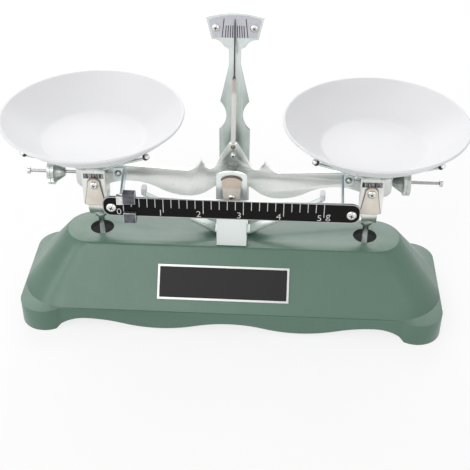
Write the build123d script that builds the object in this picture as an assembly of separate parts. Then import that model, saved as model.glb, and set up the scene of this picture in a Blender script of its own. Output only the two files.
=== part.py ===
from build123d import *
from math import sin, cos, tan, atan2, asin, hypot
import os

# Two-pan table balance. Millimetres, +Z up, front towards -Y.
# The origin lies on the table, midway between the two pan stems.
# In a name, RISE is a height from the knives and RUN a way out from the end knife.

# Driving dimensions of the lever work
ARM = 90.0                 # centre knife to end knife, in X
KNIFE_Z = 99.7             # height of all three knife edges
STAY_Z = 30.0              # height of the stay pivots inside the base
FIT = 0.05                 # radial gap of a part that turns or slides on another
SEAT = 0.3                 # gap under a part that only rests on another

# Base casting
BASE_LENGTH = 286.0
BASE_FRONT = 47.5          # front of the skirt between the feet
BASE_REAR = 36.0
BASE_TOP = 51.0
FOOT_TOP = 16.5            # ledge on the feet, and top of the skirt
FOOT_FRONT = 52.0
FOOT_REAR = 39.5
FOOT_LENGTH = 34.0
FOOT_DEPTH = 34.0
FOOT_RADIUS = 17.0
SLOPE_RADIUS = 32.0        # corners of the sloping body where it meets the ledge
SLOPE_STEP = 1.0           # how far the slope's foot stands in from the skirt
TOP_LENGTH = 228.0
TOP_WIDTH = 37.0
BASE_WALL = 3.5
STEM_HOLE_D = 16.0
TOP_EDGE_R = 2.0
LOBE_X = 47.0              # wavy lower edge of the skirt between the feet
LOBE_Z = 2.0
WAVE_MID_Z = 7.8
WAVE_SIDE_Z = 8.4
WAVE_SIDE_RUN = 20.0       # from the foot to the side arch of the wave
END_ARCH_Z = 7.0

# Blank plate on the front slope
PLATE_LENGTH = 88.0
PLATE_HEIGHT = 23.4
PLATE_T = 0.8
PLATE_X = -4.6
PLATE_FRAME = 1.2
PLATE_RECESS = 0.25
PLATE_DOWN = 24.5          # from the platform edge, along the slope

# Column bracket, one bent sheet
COLUMN_W = 20.0
COLUMN_FRONT = -18.0       # outer face of the front cheek
COLUMN_BACK = 17.5         # outer face of the back plate
COLUMN_T = 1.5
CHEEK_TOP_RISE = 11.0
CHEEK_SHOULDER_RISE = 6.1
NOTCH_LOW_RISE = 21.9
NOTCH_HIGH_RISE = 42.7
NOTCH_DEPTH = 4.7
BACK_SHOULDER_W = 18.6
NECK_W = 7.4
NECK_LOW_RISE = 68.3
NECK_HIGH_RISE = 79.5
CHIN_STEP = 3.0            # small shoulder where the neck meets the head's flare
CHIN_RISE = 1.6
FLARE_R = 7.5
HEAD_LOW_RISE = 86.0
HEAD_LOW_W = 28.8
HEAD_CORNER_RISE = 100.4
HEAD_W = 35.6
HEAD_TOP_RISE = 103.5
DIAL_INSET = 1.3
DIAL_T = 0.6
DIAL_SCREW_X = 11.8
DIAL_SCREW_RISE = 8.1      # above the foot of the head
DIAL_HEAD_D = 5.2

# Knives and the blocks they rock on
KNIFE_W = 5.0
KNIFE_H = 5.6
KNIFE_WEDGE = 2.6
BEARING_W = 9.0
BEARING_T = 3.0
BEARING_H = 5.0
GROOVE_W = 6.0
GROOVE_DEPTH = 2.0
WINDOW_TOP_RISE = 5.9

# Cream cover plates and screws
COVER_T = 1.2
COVER_R = 6.8
COVER_TOP_RISE = 7.5
COVER_LOW_RISE = -17.7
COVER_LOW_W = 8.4
COVER_SCREW_RISE = -8.2
HEAD_D = 5.9
HEAD_H = 1.8
SHANK_D = 2.6

# Beam, a pressed sheet with a rim turned back along its edge
BEAM_DEPTH = 3.6
BEAM_T = 1.2
PEAK_RISE = 22.1
PEAK_W = 6.8
PEAK_ROUND = 2.2
PEAK_FOOT_X = 9.8
PEAK_FOOT_RISE = 7.9
VALLEY_X = 14.9
VALLEY_RISE = 2.8
CUSP_X = 20.75
CUSP_RISE = 8.2
CUSP_R = 12.0
ARM_ROOT_X = 29.5
ARM_ROOT_RISE = 0.5
SHOULDER_RUN = -19.0
SHOULDER_RISE = 2.1
SHOULDER_R = 10.0
STEP_RUN = -10.4
STEP_RISE = -3.1
LUG_RUN = 8.9
LUG_END_RUN = 14.0
LUG_RISE = -0.7
LUG_CORNER = 2.5
LUG_LOW_RISE = -10.2
LUG_FOOT_RISE = -15.2
LUG_FOOT_R = 5.2
WAIST_RUN = -22.0          # underside, where the arm is narrowest
WAIST_RISE = -8.7
BELLY_X = 29.8             # underside, lowest point beside the column
BELLY_RISE = -19.2
CROTCH_RISE = -7.7         # underside, in the middle

# Pointer
POINTER_T = 0.8
POINTER_W = 3.0
NEEDLE_W = 0.9
POINTER_FOOT_RISE = 8.3
POINTER_SCREW_RISE = 13.3
POINTER_HEAD_D = 3.7
POINTER_WAIST_W = 2.1
POINTER_BEND_RISE = 22.8
POINTER_STEP_RISE = 53.3
POINTER_THIN_RISE = 63.3
POINTER_TIP_RISE = 99.3
POINTER_GAP = 0.9          # between the needle and the dial

# Scale bar with its hangers and rider
BAR_END_RUN = -7.4
BAR_H = 14.5
BAR_RISE = -11.65
BAR_FRONT = -28.0
BAR_T = 1.5
BAR_END_R = 5.5
BAR_SCREW_RUN = -13.0
BAR_SCREW_DROP = 0.8       # below the middle of the bar
BAR_HEAD_D = 6.8
HANGER_RUN = -18.5            # middle of the hanger's side sheet
HANGER_T = 1.2
HANGER_REACH = 8.4
HANGER_W = 9.0
HANGER_TOP_RISE = 1.7
RIVET_RUN = -14.4
RIVET_RISE = -2.5
RIVET_D = 3.6
RIVET_H = 0.9
RIDER_X = -69.2            # reading edge when the rider stands at zero
RIDER_L = 8.15
RIDER_TRAVEL = 128.8
RIDER_H = 22.3
RIDER_FRONT_T = 2.6
RIDER_BACK_T = 1.5
RIDER_WINDOW = 7.0
RIDER_EDGE_R = 0.5
STOP_CLIP_W = 4.2
STOP_CLIP_H = 6.4
STOP_CLIP_BACK = 3.0       # height of its short leg behind the bar
STOP_CLIP_T = 0.9

# Balance rods and nuts
ROD_D = 2.4
ROD_RISE = -4.2
ROD_START_RUN = 11.0
ROD_END_RUN = 47.1
COLLAR_D = 5.0
COLLAR_L = 2.6
NUT_R = 8.9
NUT_L = 11.1
NUT_BAND = 4.6
NUT_NOSE_R = 3.2
LEFT_NUT_RUN = 21.2         # nose of the left nut, from the centre
RIGHT_NUT_GAP = 0.3        # between the right nut and the beam

# Pan carriers
YOKE_W = 15.4
YOKE_HALF = 14.0           # outer face of a cheek, from the stem axis
YOKE_T = 1.4
YOKE_STRAP_W = 10.0
YOKE_SHOULDER_RISE = -20.7
YOKE_TOP_RISE = 6.2
YOKE_WINDOW_W = 13.0
YOKE_WINDOW_H = 3.5
YOKE_COVER_TOP_RISE = 0.7
YOKE_COVER_R = 4.3
YOKE_COVER_LOW_RISE = -20.3
YOKE_COVER_W = 12.4
YOKE_SCREW_RISE = -4.3
STEM_D = 4.2
STEM_COLLAR_D = 8.0
STEM_COLLAR_H = 3.0
EYE_R = 4.0
EYE_T = 2.4
SUPPORT_T = 1.2
SUPPORT_HUB = 14.0         # half size of the flat hub, along each arm
ARM_WAIST_R = 30.4
ARM_WAIST_W = 5.1
ARM_TIP_R = 49.0
ARM_TIP_W = 3.4
ARM_TIP_LIP = 0.4
ARM_ANGLE = 40.0           # of an arm from the X axis

# Pans
PAN_R = 59.0
PAN_FOOT_R = 35.5
PAN_FOOT_RISE = 14.6       # above the top of the yoke
PAN_DEPTH = 20.2
PAN_WALL = 1.8
PAN_FOOT_ROUND = 1.5
PAN_FOOT_LIFT = 1.0
PAN_BULGE = 1.0            # how far the side bows out from a straight cone
PAN_RIM_W = 1.0
PAN_RIM_H = 2.2

# Stay of the parallel motion, inside the base
STAY_H = 8.0
STAY_T = 2.0
STAY_Y = 1.7               # near face of the stay, behind the stem's eye
PIN_D = 3.0
PIN_HEAD_D = 5.4
PIN_HEAD_H = 1.0
BRACKET_W = 14.0
BRACKET_T = 1.5
BRACKET_GAP = 0.4          # each side of the stay

# Beam stop, a bent strap under the beam
STRAP_T = 1.2
STRAP_W = 10.0
STRAP_TIP_W = 5.0
STRAP_FLAT = 12.0          # half length of its flat middle
STRAP_REACH = 59.0
STRAP_BEND_RISE = -21.1
STRAP_TIP_H = 5.0
SLEEVE_WALL = 1.1
SLEEVE_H = 4.0

COLUMN_SCREW_Y = 10.0
COLUMN_SCREW_D = 3.0
COLUMN_HEAD_D = 5.6
COLUMN_HEAD_H = 2.0
COLUMN_NUT_R = 3.0
COLUMN_NUT_H = 2.4

# Places that follow from the sizes above
CHEEK_TOP = KNIFE_Z + CHEEK_TOP_RISE
CHEEK_SHOULDER = KNIFE_Z + CHEEK_SHOULDER_RISE
NOTCH_LOW = KNIFE_Z + NOTCH_LOW_RISE
NOTCH_HIGH = KNIFE_Z + NOTCH_HIGH_RISE
NECK_LOW = KNIFE_Z + NECK_LOW_RISE
NECK_HIGH = KNIFE_Z + NECK_HIGH_RISE
HEAD_LOW = KNIFE_Z + HEAD_LOW_RISE
HEAD_CORNER_Z = KNIFE_Z + HEAD_CORNER_RISE
HEAD_TOP = KNIFE_Z + HEAD_TOP_RISE
WINDOW_TOP = KNIFE_Z + WINDOW_TOP_RISE
COVER_TOP = KNIFE_Z + COVER_TOP_RISE
COVER_LOW = KNIFE_Z + COVER_LOW_RISE
COVER_SCREW_Z = KNIFE_Z + COVER_SCREW_RISE
POINTER_FOOT = KNIFE_Z + POINTER_FOOT_RISE
POINTER_SCREW_Z = KNIFE_Z + POINTER_SCREW_RISE
POINTER_BEND = KNIFE_Z + POINTER_BEND_RISE
POINTER_STEP = KNIFE_Z + POINTER_STEP_RISE
POINTER_THIN = KNIFE_Z + POINTER_THIN_RISE
POINTER_TIP = KNIFE_Z + POINTER_TIP_RISE
BAR_Z = KNIFE_Z + BAR_RISE
HANGER_TOP = KNIFE_Z + HANGER_TOP_RISE
RIVET_Z = KNIFE_Z + RIVET_RISE
ROD_Z = KNIFE_Z + ROD_RISE
YOKE_SHOULDER = KNIFE_Z + YOKE_SHOULDER_RISE
YOKE_TOP = KNIFE_Z + YOKE_TOP_RISE
YOKE_COVER_TOP = KNIFE_Z + YOKE_COVER_TOP_RISE
YOKE_COVER_LOW = KNIFE_Z + YOKE_COVER_LOW_RISE
YOKE_SCREW_Z = KNIFE_Z + YOKE_SCREW_RISE
STRAP_RISE_Z = KNIFE_Z + STRAP_BEND_RISE
HANGER_X = ARM + HANGER_RUN
RIVET_X = ARM + RIVET_RUN
BAR_SCREW_X = ARM + BAR_SCREW_RUN
ROD_START = ARM + ROD_START_RUN
ROD_END = ARM + ROD_END_RUN
LEFT_NUT_X = ARM + LEFT_NUT_RUN
BAR_LENGTH = 2 * (ARM + BAR_END_RUN)
BAR_SCREW_Z = BAR_Z - BAR_SCREW_DROP
DIAL_LOW = HEAD_LOW + DIAL_INSET
DIAL_SCREW_Z = HEAD_LOW + DIAL_SCREW_RISE
BEAM_END = ARM + LUG_END_RUN
RIGHT_NUT_X = BEAM_END + RIGHT_NUT_GAP
PAN_FOOT_Z = YOKE_TOP + PAN_FOOT_RISE
PAN_RIM_Z = PAN_FOOT_Z + PAN_DEPTH
FACE = -BEAM_DEPTH / 2     # front face of the beam
BAR_BACK = BAR_FRONT + BAR_T
COLUMN_INNER = COLUMN_BACK - COLUMN_T

os.makedirs("parts", exist_ok=True)


def save(name, *solids):
    """Write one sub-part; several solids stay apart as a group."""
    shape = solids[0] if len(solids) == 1 else Compound(children=list(solids))
    export_step(shape, f"parts/{name}.step")


def slab(outline, y_front, y_back):
    """A flat sheet of the given front-view outline between two Y values."""
    return extrude(Plane.XZ.offset(-y_back) * outline, y_back - y_front, dir=(0, -1, 0))


def side_slab(outline, x_left, width):
    """A sheet of the given side-view outline, Y across and Z up, from an X value on."""
    return extrude(Plane.YZ.offset(x_left) * outline, width, dir=(1, 0, 0))


def prism(outline, height):
    """An upright prism on the given plan."""
    return extrude(outline, height, dir=(0, 0, 1))


def rod_y(x, z, d, y_front, y_back):
    """A round bar along Y."""
    return slab(Pos(x, z) * Circle(d / 2), y_front, y_back)


def face(*edges):
    """A closed flat face from edges that meet end to end."""
    return make_face(Curve() + list(edges))


def both_sides(edges):
    """Edges of an outline's right side together with their mirror image in X."""
    return edges + [edge.mirror(Plane.YZ) for edge in edges]


def sway(start, end):
    """Two arcs that swing from one level point of a wavy edge to the next."""
    start, end = Vector(start), Vector(end)
    first = TangentArc(start, (start + end) / 2, tangent=(end.X - start.X, 0))
    return [first, TangentArc(first @ 1, end, tangent=first % 1)]


# Base casting

def base_plan(grow, corner):
    """Plan of the sloping body's foot, as a rounded rectangle."""
    depth = BASE_FRONT + BASE_REAR - 2 * SLOPE_STEP + 2 * grow
    middle = (BASE_REAR - BASE_FRONT) / 2
    return Pos(0, middle) * RectangleRounded(BASE_LENGTH + 2 * grow, depth, corner + grow)


def base_slope(z_top, inset):
    """The body between the platform and the ledge, inset for the cavity."""
    top = RectangleRounded(TOP_LENGTH - 2 * inset, TOP_WIDTH - 2 * inset, TOP_WIDTH / 2 - inset - 0.2)
    low = base_plan(-inset, SLOPE_RADIUS)
    return loft([Pos(0, 0, FOOT_TOP) * low, Pos(0, 0, z_top) * top], ruled=True)


def base_skirt():
    """Upright band with four feet that stand out at the corners."""
    middle = (BASE_REAR - BASE_FRONT) / 2
    plan = Pos(0, middle) * RectangleRounded(BASE_LENGTH, BASE_FRONT + BASE_REAR, FOOT_RADIUS)
    for side in (-1, 1):
        x = side * (BASE_LENGTH - FOOT_LENGTH) / 2
        plan += Pos(x, FOOT_DEPTH / 2 - FOOT_FRONT) * RectangleRounded(FOOT_LENGTH, FOOT_DEPTH, FOOT_RADIUS - 0.1)
        plan += Pos(x, FOOT_REAR - FOOT_DEPTH / 2) * RectangleRounded(FOOT_LENGTH, FOOT_DEPTH, FOOT_RADIUS - 0.1)
    return prism(plan, FOOT_TOP)


def skirt_wave():
    """Outline below the skirt's wavy lower edge, between the feet."""
    end = BASE_LENGTH / 2 - FOOT_LENGTH + FOOT_RADIUS / 2
    lobe, side = (LOBE_X, LOBE_Z), (end - WAVE_SIDE_RUN, WAVE_SIDE_Z)
    wave = sway((0, WAVE_MID_Z), lobe) + sway(lobe, side)
    wave += [TangentArc(side, (end, 0), tangent=(1, 0)), Line((end, 0), (end, -BASE_WALL))]
    return face(*both_sides(wave), Line((end, -BASE_WALL), (-end, -BASE_WALL)))


def end_arch():
    """Outline below the lower edge of each end, between front and rear foot."""
    front = FOOT_DEPTH - FOOT_FRONT - TOP_EDGE_R
    rear = FOOT_REAR - FOOT_DEPTH + TOP_EDGE_R
    arch = ThreePointArc((front, -1), ((front + rear) / 2, END_ARCH_Z), (rear, -1))
    return face(arch, Line((rear, -1), (front, -1)))


def make_base():
    depth = FOOT_FRONT + FOOT_REAR + 20
    body = base_slope(BASE_TOP, 0) + base_skirt()
    cavity = base_slope(BASE_TOP - BASE_WALL, BASE_WALL)
    cavity += prism(base_plan(-BASE_WALL, SLOPE_RADIUS), FOOT_TOP)
    body -= cavity
    body -= slab(skirt_wave(), -depth, depth)
    body -= side_slab(end_arch(), -BASE_LENGTH, 2 * BASE_LENGTH)
    for side in (-1, 1):
        body -= Pos(side * ARM, 0, BASE_TOP) * Cylinder(STEM_HOLE_D / 2, 4 * BASE_WALL)
        body -= Pos(0, side * COLUMN_SCREW_Y, BASE_TOP) * Cylinder(COLUMN_SCREW_D / 2, 4 * BASE_WALL)
    rim = body.edges().group_by(Axis.Z)[-1].filter_by(lambda e: e.length > STEM_HOLE_D * 4)
    return fillet(rim, TOP_EDGE_R)


def slope_plane():
    """Plane of the front slope, X along it and Y up it, at the platform edge."""
    low_y = -(BASE_FRONT - SLOPE_STEP)
    top_y = -TOP_WIDTH / 2
    up = Vector(0, top_y - low_y, BASE_TOP - FOOT_TOP).normalized()
    normal = Vector(1, 0, 0).cross(up)
    return Plane(origin=(0, top_y, BASE_TOP), x_dir=(1, 0, 0), z_dir=(normal.X, normal.Y, normal.Z))


def make_plate():
    """Thin plate with a raised frame round its bare face."""
    inner = Rectangle(PLATE_LENGTH - 2 * PLATE_FRAME, PLATE_HEIGHT - 2 * PLATE_FRAME)
    sheet = extrude(Rectangle(PLATE_LENGTH, PLATE_HEIGHT), PLATE_T)
    pocket = Pos(0, 0, PLATE_T - PLATE_RECESS) * extrude(inner, PLATE_T)
    return slope_plane().location * Pos(PLATE_X, -PLATE_DOWN, 0) * (sheet - pocket)


# Column bracket and dial

def back_outline():
    """The back plate, from the foot up to the fan head."""
    w, s, n = COLUMN_W / 2, BACK_SHOULDER_W / 2, NECK_W / 2
    waist = (w - NOTCH_DEPTH, (NOTCH_LOW + NOTCH_HIGH) / 2)
    chin = (n + CHIN_STEP, NECK_HIGH + CHIN_RISE)
    jaw = (HEAD_LOW_W / 2, HEAD_LOW)
    corner = (HEAD_W / 2, HEAD_CORNER_Z)
    right = [
        Line((w, BASE_TOP), (w, NOTCH_LOW)),
        ThreePointArc((w, NOTCH_LOW), waist, (s, NOTCH_HIGH)),
        Line((s, NOTCH_HIGH), (n, NECK_LOW)),
        Line((n, NECK_LOW), (n, NECK_HIGH)),
        Line((n, NECK_HIGH), chin),
        RadiusArc(chin, jaw, FLARE_R),
        Line(jaw, corner),
    ]
    crown = ThreePointArc(corner, (0, HEAD_TOP), (-corner[0], corner[1]))
    return face(*both_sides(right), crown, Line((-w, BASE_TOP), (w, BASE_TOP)))


def cheek_outline():
    w = COLUMN_W / 2
    arch = ThreePointArc((w, CHEEK_SHOULDER), (0, CHEEK_TOP), (-w, CHEEK_SHOULDER))
    sides = Polyline([(-w, CHEEK_SHOULDER), (-w, BASE_TOP), (w, BASE_TOP), (w, CHEEK_SHOULDER)])
    return face(arch, sides)


def bearing_window():
    """Opening in the front cheek that the centre knife and its block fill."""
    low = KNIFE_Z + GROOVE_DEPTH - BEARING_H
    return Pos(0, (low + WINDOW_TOP) / 2) * Rectangle(BEARING_W, WINDOW_TOP - low)


def make_column():
    front = slab(cheek_outline() - bearing_window(), COLUMN_FRONT, COLUMN_FRONT + COLUMN_T)
    back = slab(back_outline(), COLUMN_INNER, COLUMN_BACK)
    web = Pos(0, (COLUMN_FRONT + COLUMN_BACK) / 2, BASE_TOP + COLUMN_T / 2) * Box(
        COLUMN_W, COLUMN_BACK - COLUMN_FRONT, COLUMN_T)
    body = front + back + web
    bends = body.edges().filter_by(Axis.X).filter_by(
        lambda e: abs(e.center().Z - BASE_TOP) < 0.01 and e.length > COLUMN_W - 1)
    body = fillet(bends, COLUMN_T)
    for side in (-1, 1):
        body -= Pos(0, side * COLUMN_SCREW_Y, BASE_TOP) * Cylinder(COLUMN_SCREW_D / 2, 4 * COLUMN_T)
        body -= rod_y(side * DIAL_SCREW_X, DIAL_SCREW_Z, SHANK_D, 0, COLUMN_BACK + 1)
    return body - rod_y(0, COVER_SCREW_Z, SHANK_D, COLUMN_FRONT - 1, COLUMN_FRONT + 2 * COLUMN_T)


def make_dial():
    """Scale plate on the fan head, inset from the head's edge."""
    lean = (HEAD_W - HEAD_LOW_W) / 2 / (HEAD_CORNER_Z - HEAD_LOW)
    low_w = HEAD_LOW_W / 2 + (DIAL_LOW - HEAD_LOW) * lean - DIAL_INSET
    top_z = HEAD_CORNER_Z - DIAL_INSET
    top_w = HEAD_W / 2 - DIAL_INSET * (1 + lean)
    outline = face(
        Line((low_w, DIAL_LOW), (top_w, top_z)),
        ThreePointArc((top_w, top_z), (0, HEAD_TOP - DIAL_INSET), (-top_w, top_z)),
        Line((-top_w, top_z), (-low_w, DIAL_LOW)),
        Line((-low_w, DIAL_LOW), (low_w, DIAL_LOW)))
    for side in (-1, 1):
        outline -= Pos(side * DIAL_SCREW_X, DIAL_SCREW_Z) * Circle(SHANK_D / 2)
    return slab(outline, COLUMN_INNER - DIAL_T, COLUMN_INNER)


def groove(x, z, up):
    """Triangle of a bearing's groove, its corner at the knife edge, open past the block."""
    w = GROOVE_W
    h = up * 2 * GROOVE_DEPTH
    return Polygon((x - w, z + h), (x, z), (x + w, z + h), align=None)


def make_centre_bearings():
    """Two blocks under the centre knife, one in each wall of the column."""
    low = KNIFE_Z + GROOVE_DEPTH - BEARING_H
    section = Pos(0, low + BEARING_H / 2) * Rectangle(BEARING_W, BEARING_H) - groove(0, KNIFE_Z - FIT, 1)
    front = slab(section, COLUMN_FRONT, COLUMN_FRONT + BEARING_T)
    return front, slab(section, COLUMN_INNER - BEARING_T, COLUMN_INNER)


def cover_outline(top, radius, low, low_w):
    """A tapered cover with a round top and a gently rounded lower end."""
    w = low_w / 2
    centre = top - radius
    lean = atan2(w - radius, centre - low)
    px, pz = radius * cos(lean), centre + radius * sin(-lean)
    return face(
        ThreePointArc((px, pz), (0, top), (-px, pz)),
        Line((-px, pz), (-w, low + 0.6)),
        ThreePointArc((-w, low + 0.6), (0, low), (w, low + 0.6)),
        Line((w, low + 0.6), (px, pz)))


def cover_plate(x, outline, y_back, screw_z):
    plate = slab(Pos(x, 0) * outline, y_back - COVER_T, y_back)
    return plate - rod_y(x, screw_z, SHANK_D, y_back - 2 * COVER_T, y_back + 1)


def screw_y(x, z, head_d, y_seat, length):
    """A pan-head screw along Y, its head in front of the seat."""
    head = rod_y(x, z, head_d, y_seat - HEAD_H, y_seat)
    rim = head.edges().filter_by(GeomType.CIRCLE).sort_by(Axis.Y)[0]
    return fillet(rim, HEAD_H * 0.5) + rod_y(x, z, SHANK_D, y_seat, y_seat + length)


def screw_z(y, seat, length):
    """A screw down through the column's foot and the base."""
    head = Pos(0, y, seat + COLUMN_HEAD_H / 2) * Cylinder(COLUMN_HEAD_D / 2, COLUMN_HEAD_H)
    return head + Pos(0, y, seat - length / 2) * Cylinder(COLUMN_SCREW_D / 2, length)


# Beam

def beam_outline():
    """Peak, valley, cusp, arm and end lug above, and a wavy belly below."""
    k = KNIFE_Z
    brow = (PEAK_W / 2, k + PEAK_RISE - PEAK_ROUND)
    foot = (PEAK_FOOT_X, k + PEAK_FOOT_RISE)
    cusp = (CUSP_X, k + CUSP_RISE)
    root = (ARM_ROOT_X, k + ARM_ROOT_RISE)
    shoulder = (ARM + SHOULDER_RUN, k + SHOULDER_RISE)
    step = (ARM + STEP_RUN, k + STEP_RISE)
    lug_in = ARM + LUG_RUN
    lug_top = k + LUG_RISE
    corner = (BEAM_END, lug_top - LUG_CORNER)
    low = (BEAM_END, k + LUG_LOW_RISE)
    lug_foot = (lug_in, k + LUG_FOOT_RISE)
    right = [
        Line(brow, foot),
        ThreePointArc(foot, (VALLEY_X, k + VALLEY_RISE), cusp),
        RadiusArc(cusp, root, -CUSP_R),
        Line(root, shoulder),
        RadiusArc(shoulder, step, SHOULDER_R),
        Line(step, (lug_in, step[1])),
        Line((lug_in, step[1]), (lug_in, lug_top)),
        Line((lug_in, lug_top), (BEAM_END - LUG_CORNER, lug_top)),
        RadiusArc((BEAM_END - LUG_CORNER, lug_top), corner, LUG_CORNER),
        Line(corner, low),
        RadiusArc(low, lug_foot, LUG_FOOT_R),
    ]
    waist, belly = (ARM + WAIST_RUN, k + WAIST_RISE), (BELLY_X, k + BELLY_RISE)
    right += sway(lug_foot, waist) + sway(waist, belly) + sway(belly, (0, k + CROTCH_RISE))
    crown = ThreePointArc(brow, (0, k + PEAK_RISE), (-brow[0], brow[1]))
    return face(*both_sides(right), crown)


def knife_outline(x, up):
    """Section of a knife: a flat bar that ends in the working edge."""
    w = KNIFE_W / 2
    edge = KNIFE_Z
    return Polygon((x, edge), (x + w, edge - up * KNIFE_WEDGE), (x + w, edge - up * KNIFE_H),
                   (x - w, edge - up * KNIFE_H), (x - w, edge - up * KNIFE_WEDGE), align=None)


def make_beam():
    outline = beam_outline()
    rim_low = FACE + BEAM_T
    behind = FACE + BEAM_DEPTH
    body = slab(outline, FACE, behind)
    body -= slab(offset(outline, amount=-BEAM_T, kind=Kind.ARC), rim_low, behind + 1)
    for x, up in ((0, -1), (-ARM, 1), (ARM, 1)):
        body -= slab(knife_outline(x, up), -BEAM_DEPTH, BEAM_DEPTH)
    body -= slab(Pos(0, KNIFE_Z + PEAK_RISE) * Rectangle(POINTER_W, 4 * BEAM_T), rim_low, behind + 1)
    body -= rod_y(0, POINTER_SCREW_Z, SHANK_D, FACE - 1, FACE + 2 * BEAM_T)
    for side in (-1, 1):
        rod = Rot(0, 90, 0) * Cylinder(ROD_D / 2, 2 * (BEAM_END - ROD_START))
        body -= Pos(side * BEAM_END, 0, ROD_Z) * rod
        body -= rod_y(side * RIVET_X, RIVET_Z, SHANK_D, FACE - 1, FACE + 2 * BEAM_T)
    return body


def make_knives():
    """Centre knife edge down, end knives edge up, all on one line."""
    centre = slab(knife_outline(0, -1), COLUMN_FRONT + FIT, COLUMN_INNER - FIT)
    reach = YOKE_HALF - YOKE_T - FIT
    ends = [slab(knife_outline(side * ARM, 1), -reach, reach) for side in (-1, 1)]
    return centre, ends


def make_pointer():
    """A flat strip behind the beam's peak that leans back to the dial."""
    t = POINTER_T
    y0 = FACE + BEAM_T
    y1 = COLUMN_INNER - DIAL_T - POINTER_GAP - t
    side = Polygon((y0, POINTER_FOOT), (y0 + t, POINTER_FOOT), (y0 + t, POINTER_BEND),
                   (y1 + t, DIAL_LOW), (y1 + t, POINTER_TIP), (y1, POINTER_TIP),
                   (y1, DIAL_LOW), (y0, POINTER_BEND), align=None)
    strip = side_slab(side, -POINTER_W / 2, POINTER_W)
    w, v, n = POINTER_W / 2, POINTER_WAIST_W / 2, NEEDLE_W / 2
    right = [(w, POINTER_FOOT), (w, POINTER_STEP), (v, POINTER_STEP + w), (v, POINTER_THIN),
             (n, POINTER_THIN + w), (n, POINTER_TIP - POINTER_W), (n / 3, POINTER_TIP)]
    front = Polygon(*right, *[(-x, z) for x, z in reversed(right)], align=None)
    body = strip & slab(front, -COLUMN_BACK, COLUMN_BACK)
    return body - rod_y(0, POINTER_SCREW_Z, SHANK_D, -BEAM_DEPTH, BEAM_DEPTH)


# Scale bar, hangers and rider

def bar_outline():
    return Pos(0, BAR_Z) * RectangleRounded(BAR_LENGTH, BAR_H, BAR_END_R)


def make_bar():
    body = slab(bar_outline(), BAR_FRONT, BAR_BACK)
    for side in (-1, 1):
        body -= rod_y(side * BAR_SCREW_X, BAR_SCREW_Z, SHANK_D, BAR_FRONT - 1, BAR_BACK + 1)
    return body


def make_hanger(side):
    """Tab on the beam, side sheet that reaches forward, tab behind the bar."""
    low = BAR_SCREW_Z - HANGER_W / 2
    high = low + HANGER_W
    foot = HANGER_TOP - HANGER_W
    back = FACE - HANGER_T
    side_view = Polygon((FACE, HANGER_TOP), (FACE, foot), (back, foot), (BAR_BACK + HANGER_W, low + BAR_T),
                        (BAR_BACK + HANGER_T, low), (BAR_BACK, low), (BAR_BACK, high),
                        (back - HANGER_T, HANGER_TOP), align=None)
    sheet = side_slab(side_view, side * HANGER_X - HANGER_T / 2, HANGER_T)
    middle = side * (HANGER_X - HANGER_T / 2 + HANGER_REACH / 2)
    tab_high = Pos(middle, (foot + HANGER_TOP) / 2) * Rectangle(HANGER_REACH, HANGER_W)
    tab_low = Pos(middle, (low + high) / 2) * Rectangle(HANGER_REACH, HANGER_W)
    body = sheet + slab(tab_high, back, FACE) + slab(tab_low, BAR_BACK, BAR_BACK + HANGER_T)
    body -= rod_y(side * RIVET_X, RIVET_Z, SHANK_D, back - 1, FACE + 1)
    return body - rod_y(side * BAR_SCREW_X, BAR_SCREW_Z, SHANK_D, BAR_BACK - 1, BAR_BACK + 2 * HANGER_T)


def make_rivet(side):
    seat = FACE - HANGER_T
    head = rod_y(side * RIVET_X, RIVET_Z, RIVET_D, seat - RIVET_H, seat)
    return head + rod_y(side * RIVET_X, RIVET_Z, SHANK_D, seat, FACE + BEAM_T)


def make_zero_stop():
    """A clip folded over the bar's top edge, where the rider comes to rest."""
    t = STOP_CLIP_T
    top = BAR_Z + BAR_H / 2 + t
    middle = RIDER_X - 2 * FIT - STOP_CLIP_W / 2
    front = Pos(middle, top - STOP_CLIP_H / 2) * Rectangle(STOP_CLIP_W, STOP_CLIP_H)
    back = Pos(middle, top - STOP_CLIP_BACK / 2) * Rectangle(STOP_CLIP_W, STOP_CLIP_BACK)
    clip = slab(front, BAR_FRONT - t, BAR_FRONT) + slab(back, BAR_FRONT, BAR_BACK + t)
    return clip - slab(bar_outline(), BAR_FRONT, BAR_BACK)


def make_rider():
    """A block that hooks over the bar, with an open middle to read through."""
    back = BAR_BACK + FIT + RIDER_BACK_T
    front = BAR_FRONT - FIT - RIDER_FRONT_T
    body = Pos(RIDER_X + RIDER_L / 2, (front + back) / 2, BAR_Z) * Box(RIDER_L, back - front, RIDER_H)
    body = fillet(body.edges().filter_by(Axis.X), RIDER_EDGE_R)
    slot = Pos(RIDER_X, BAR_Z) * Rectangle(3 * RIDER_L, BAR_H + 2 * FIT)
    body -= slab(slot, BAR_FRONT - FIT, BAR_BACK + FIT)
    window = Pos(RIDER_X, BAR_Z) * Rectangle(3 * RIDER_L, RIDER_WINDOW)
    return body - slab(window, front - 1, BAR_FRONT)


# Balance rods and nuts

def turned(profile, side):
    """A turned part on the rod axis, from (distance, radius) points."""
    outline = Polygon(*[(side * x, r) for x, r in profile], align=None)
    return Pos(0, 0, ROD_Z) * revolve(Plane.XZ * outline, Axis.X)


def make_rod(side):
    r, c = ROD_D / 2, COLLAR_D / 2
    return turned([(ROD_START, 0), (ROD_START, r), (ROD_END - COLLAR_L, r), (ROD_END - COLLAR_L, c - 0.4),
                   (ROD_END - COLLAR_L + 0.4, c), (ROD_END - 0.6, c), (ROD_END, c - 0.8), (ROD_END, 0)], side)


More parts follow.
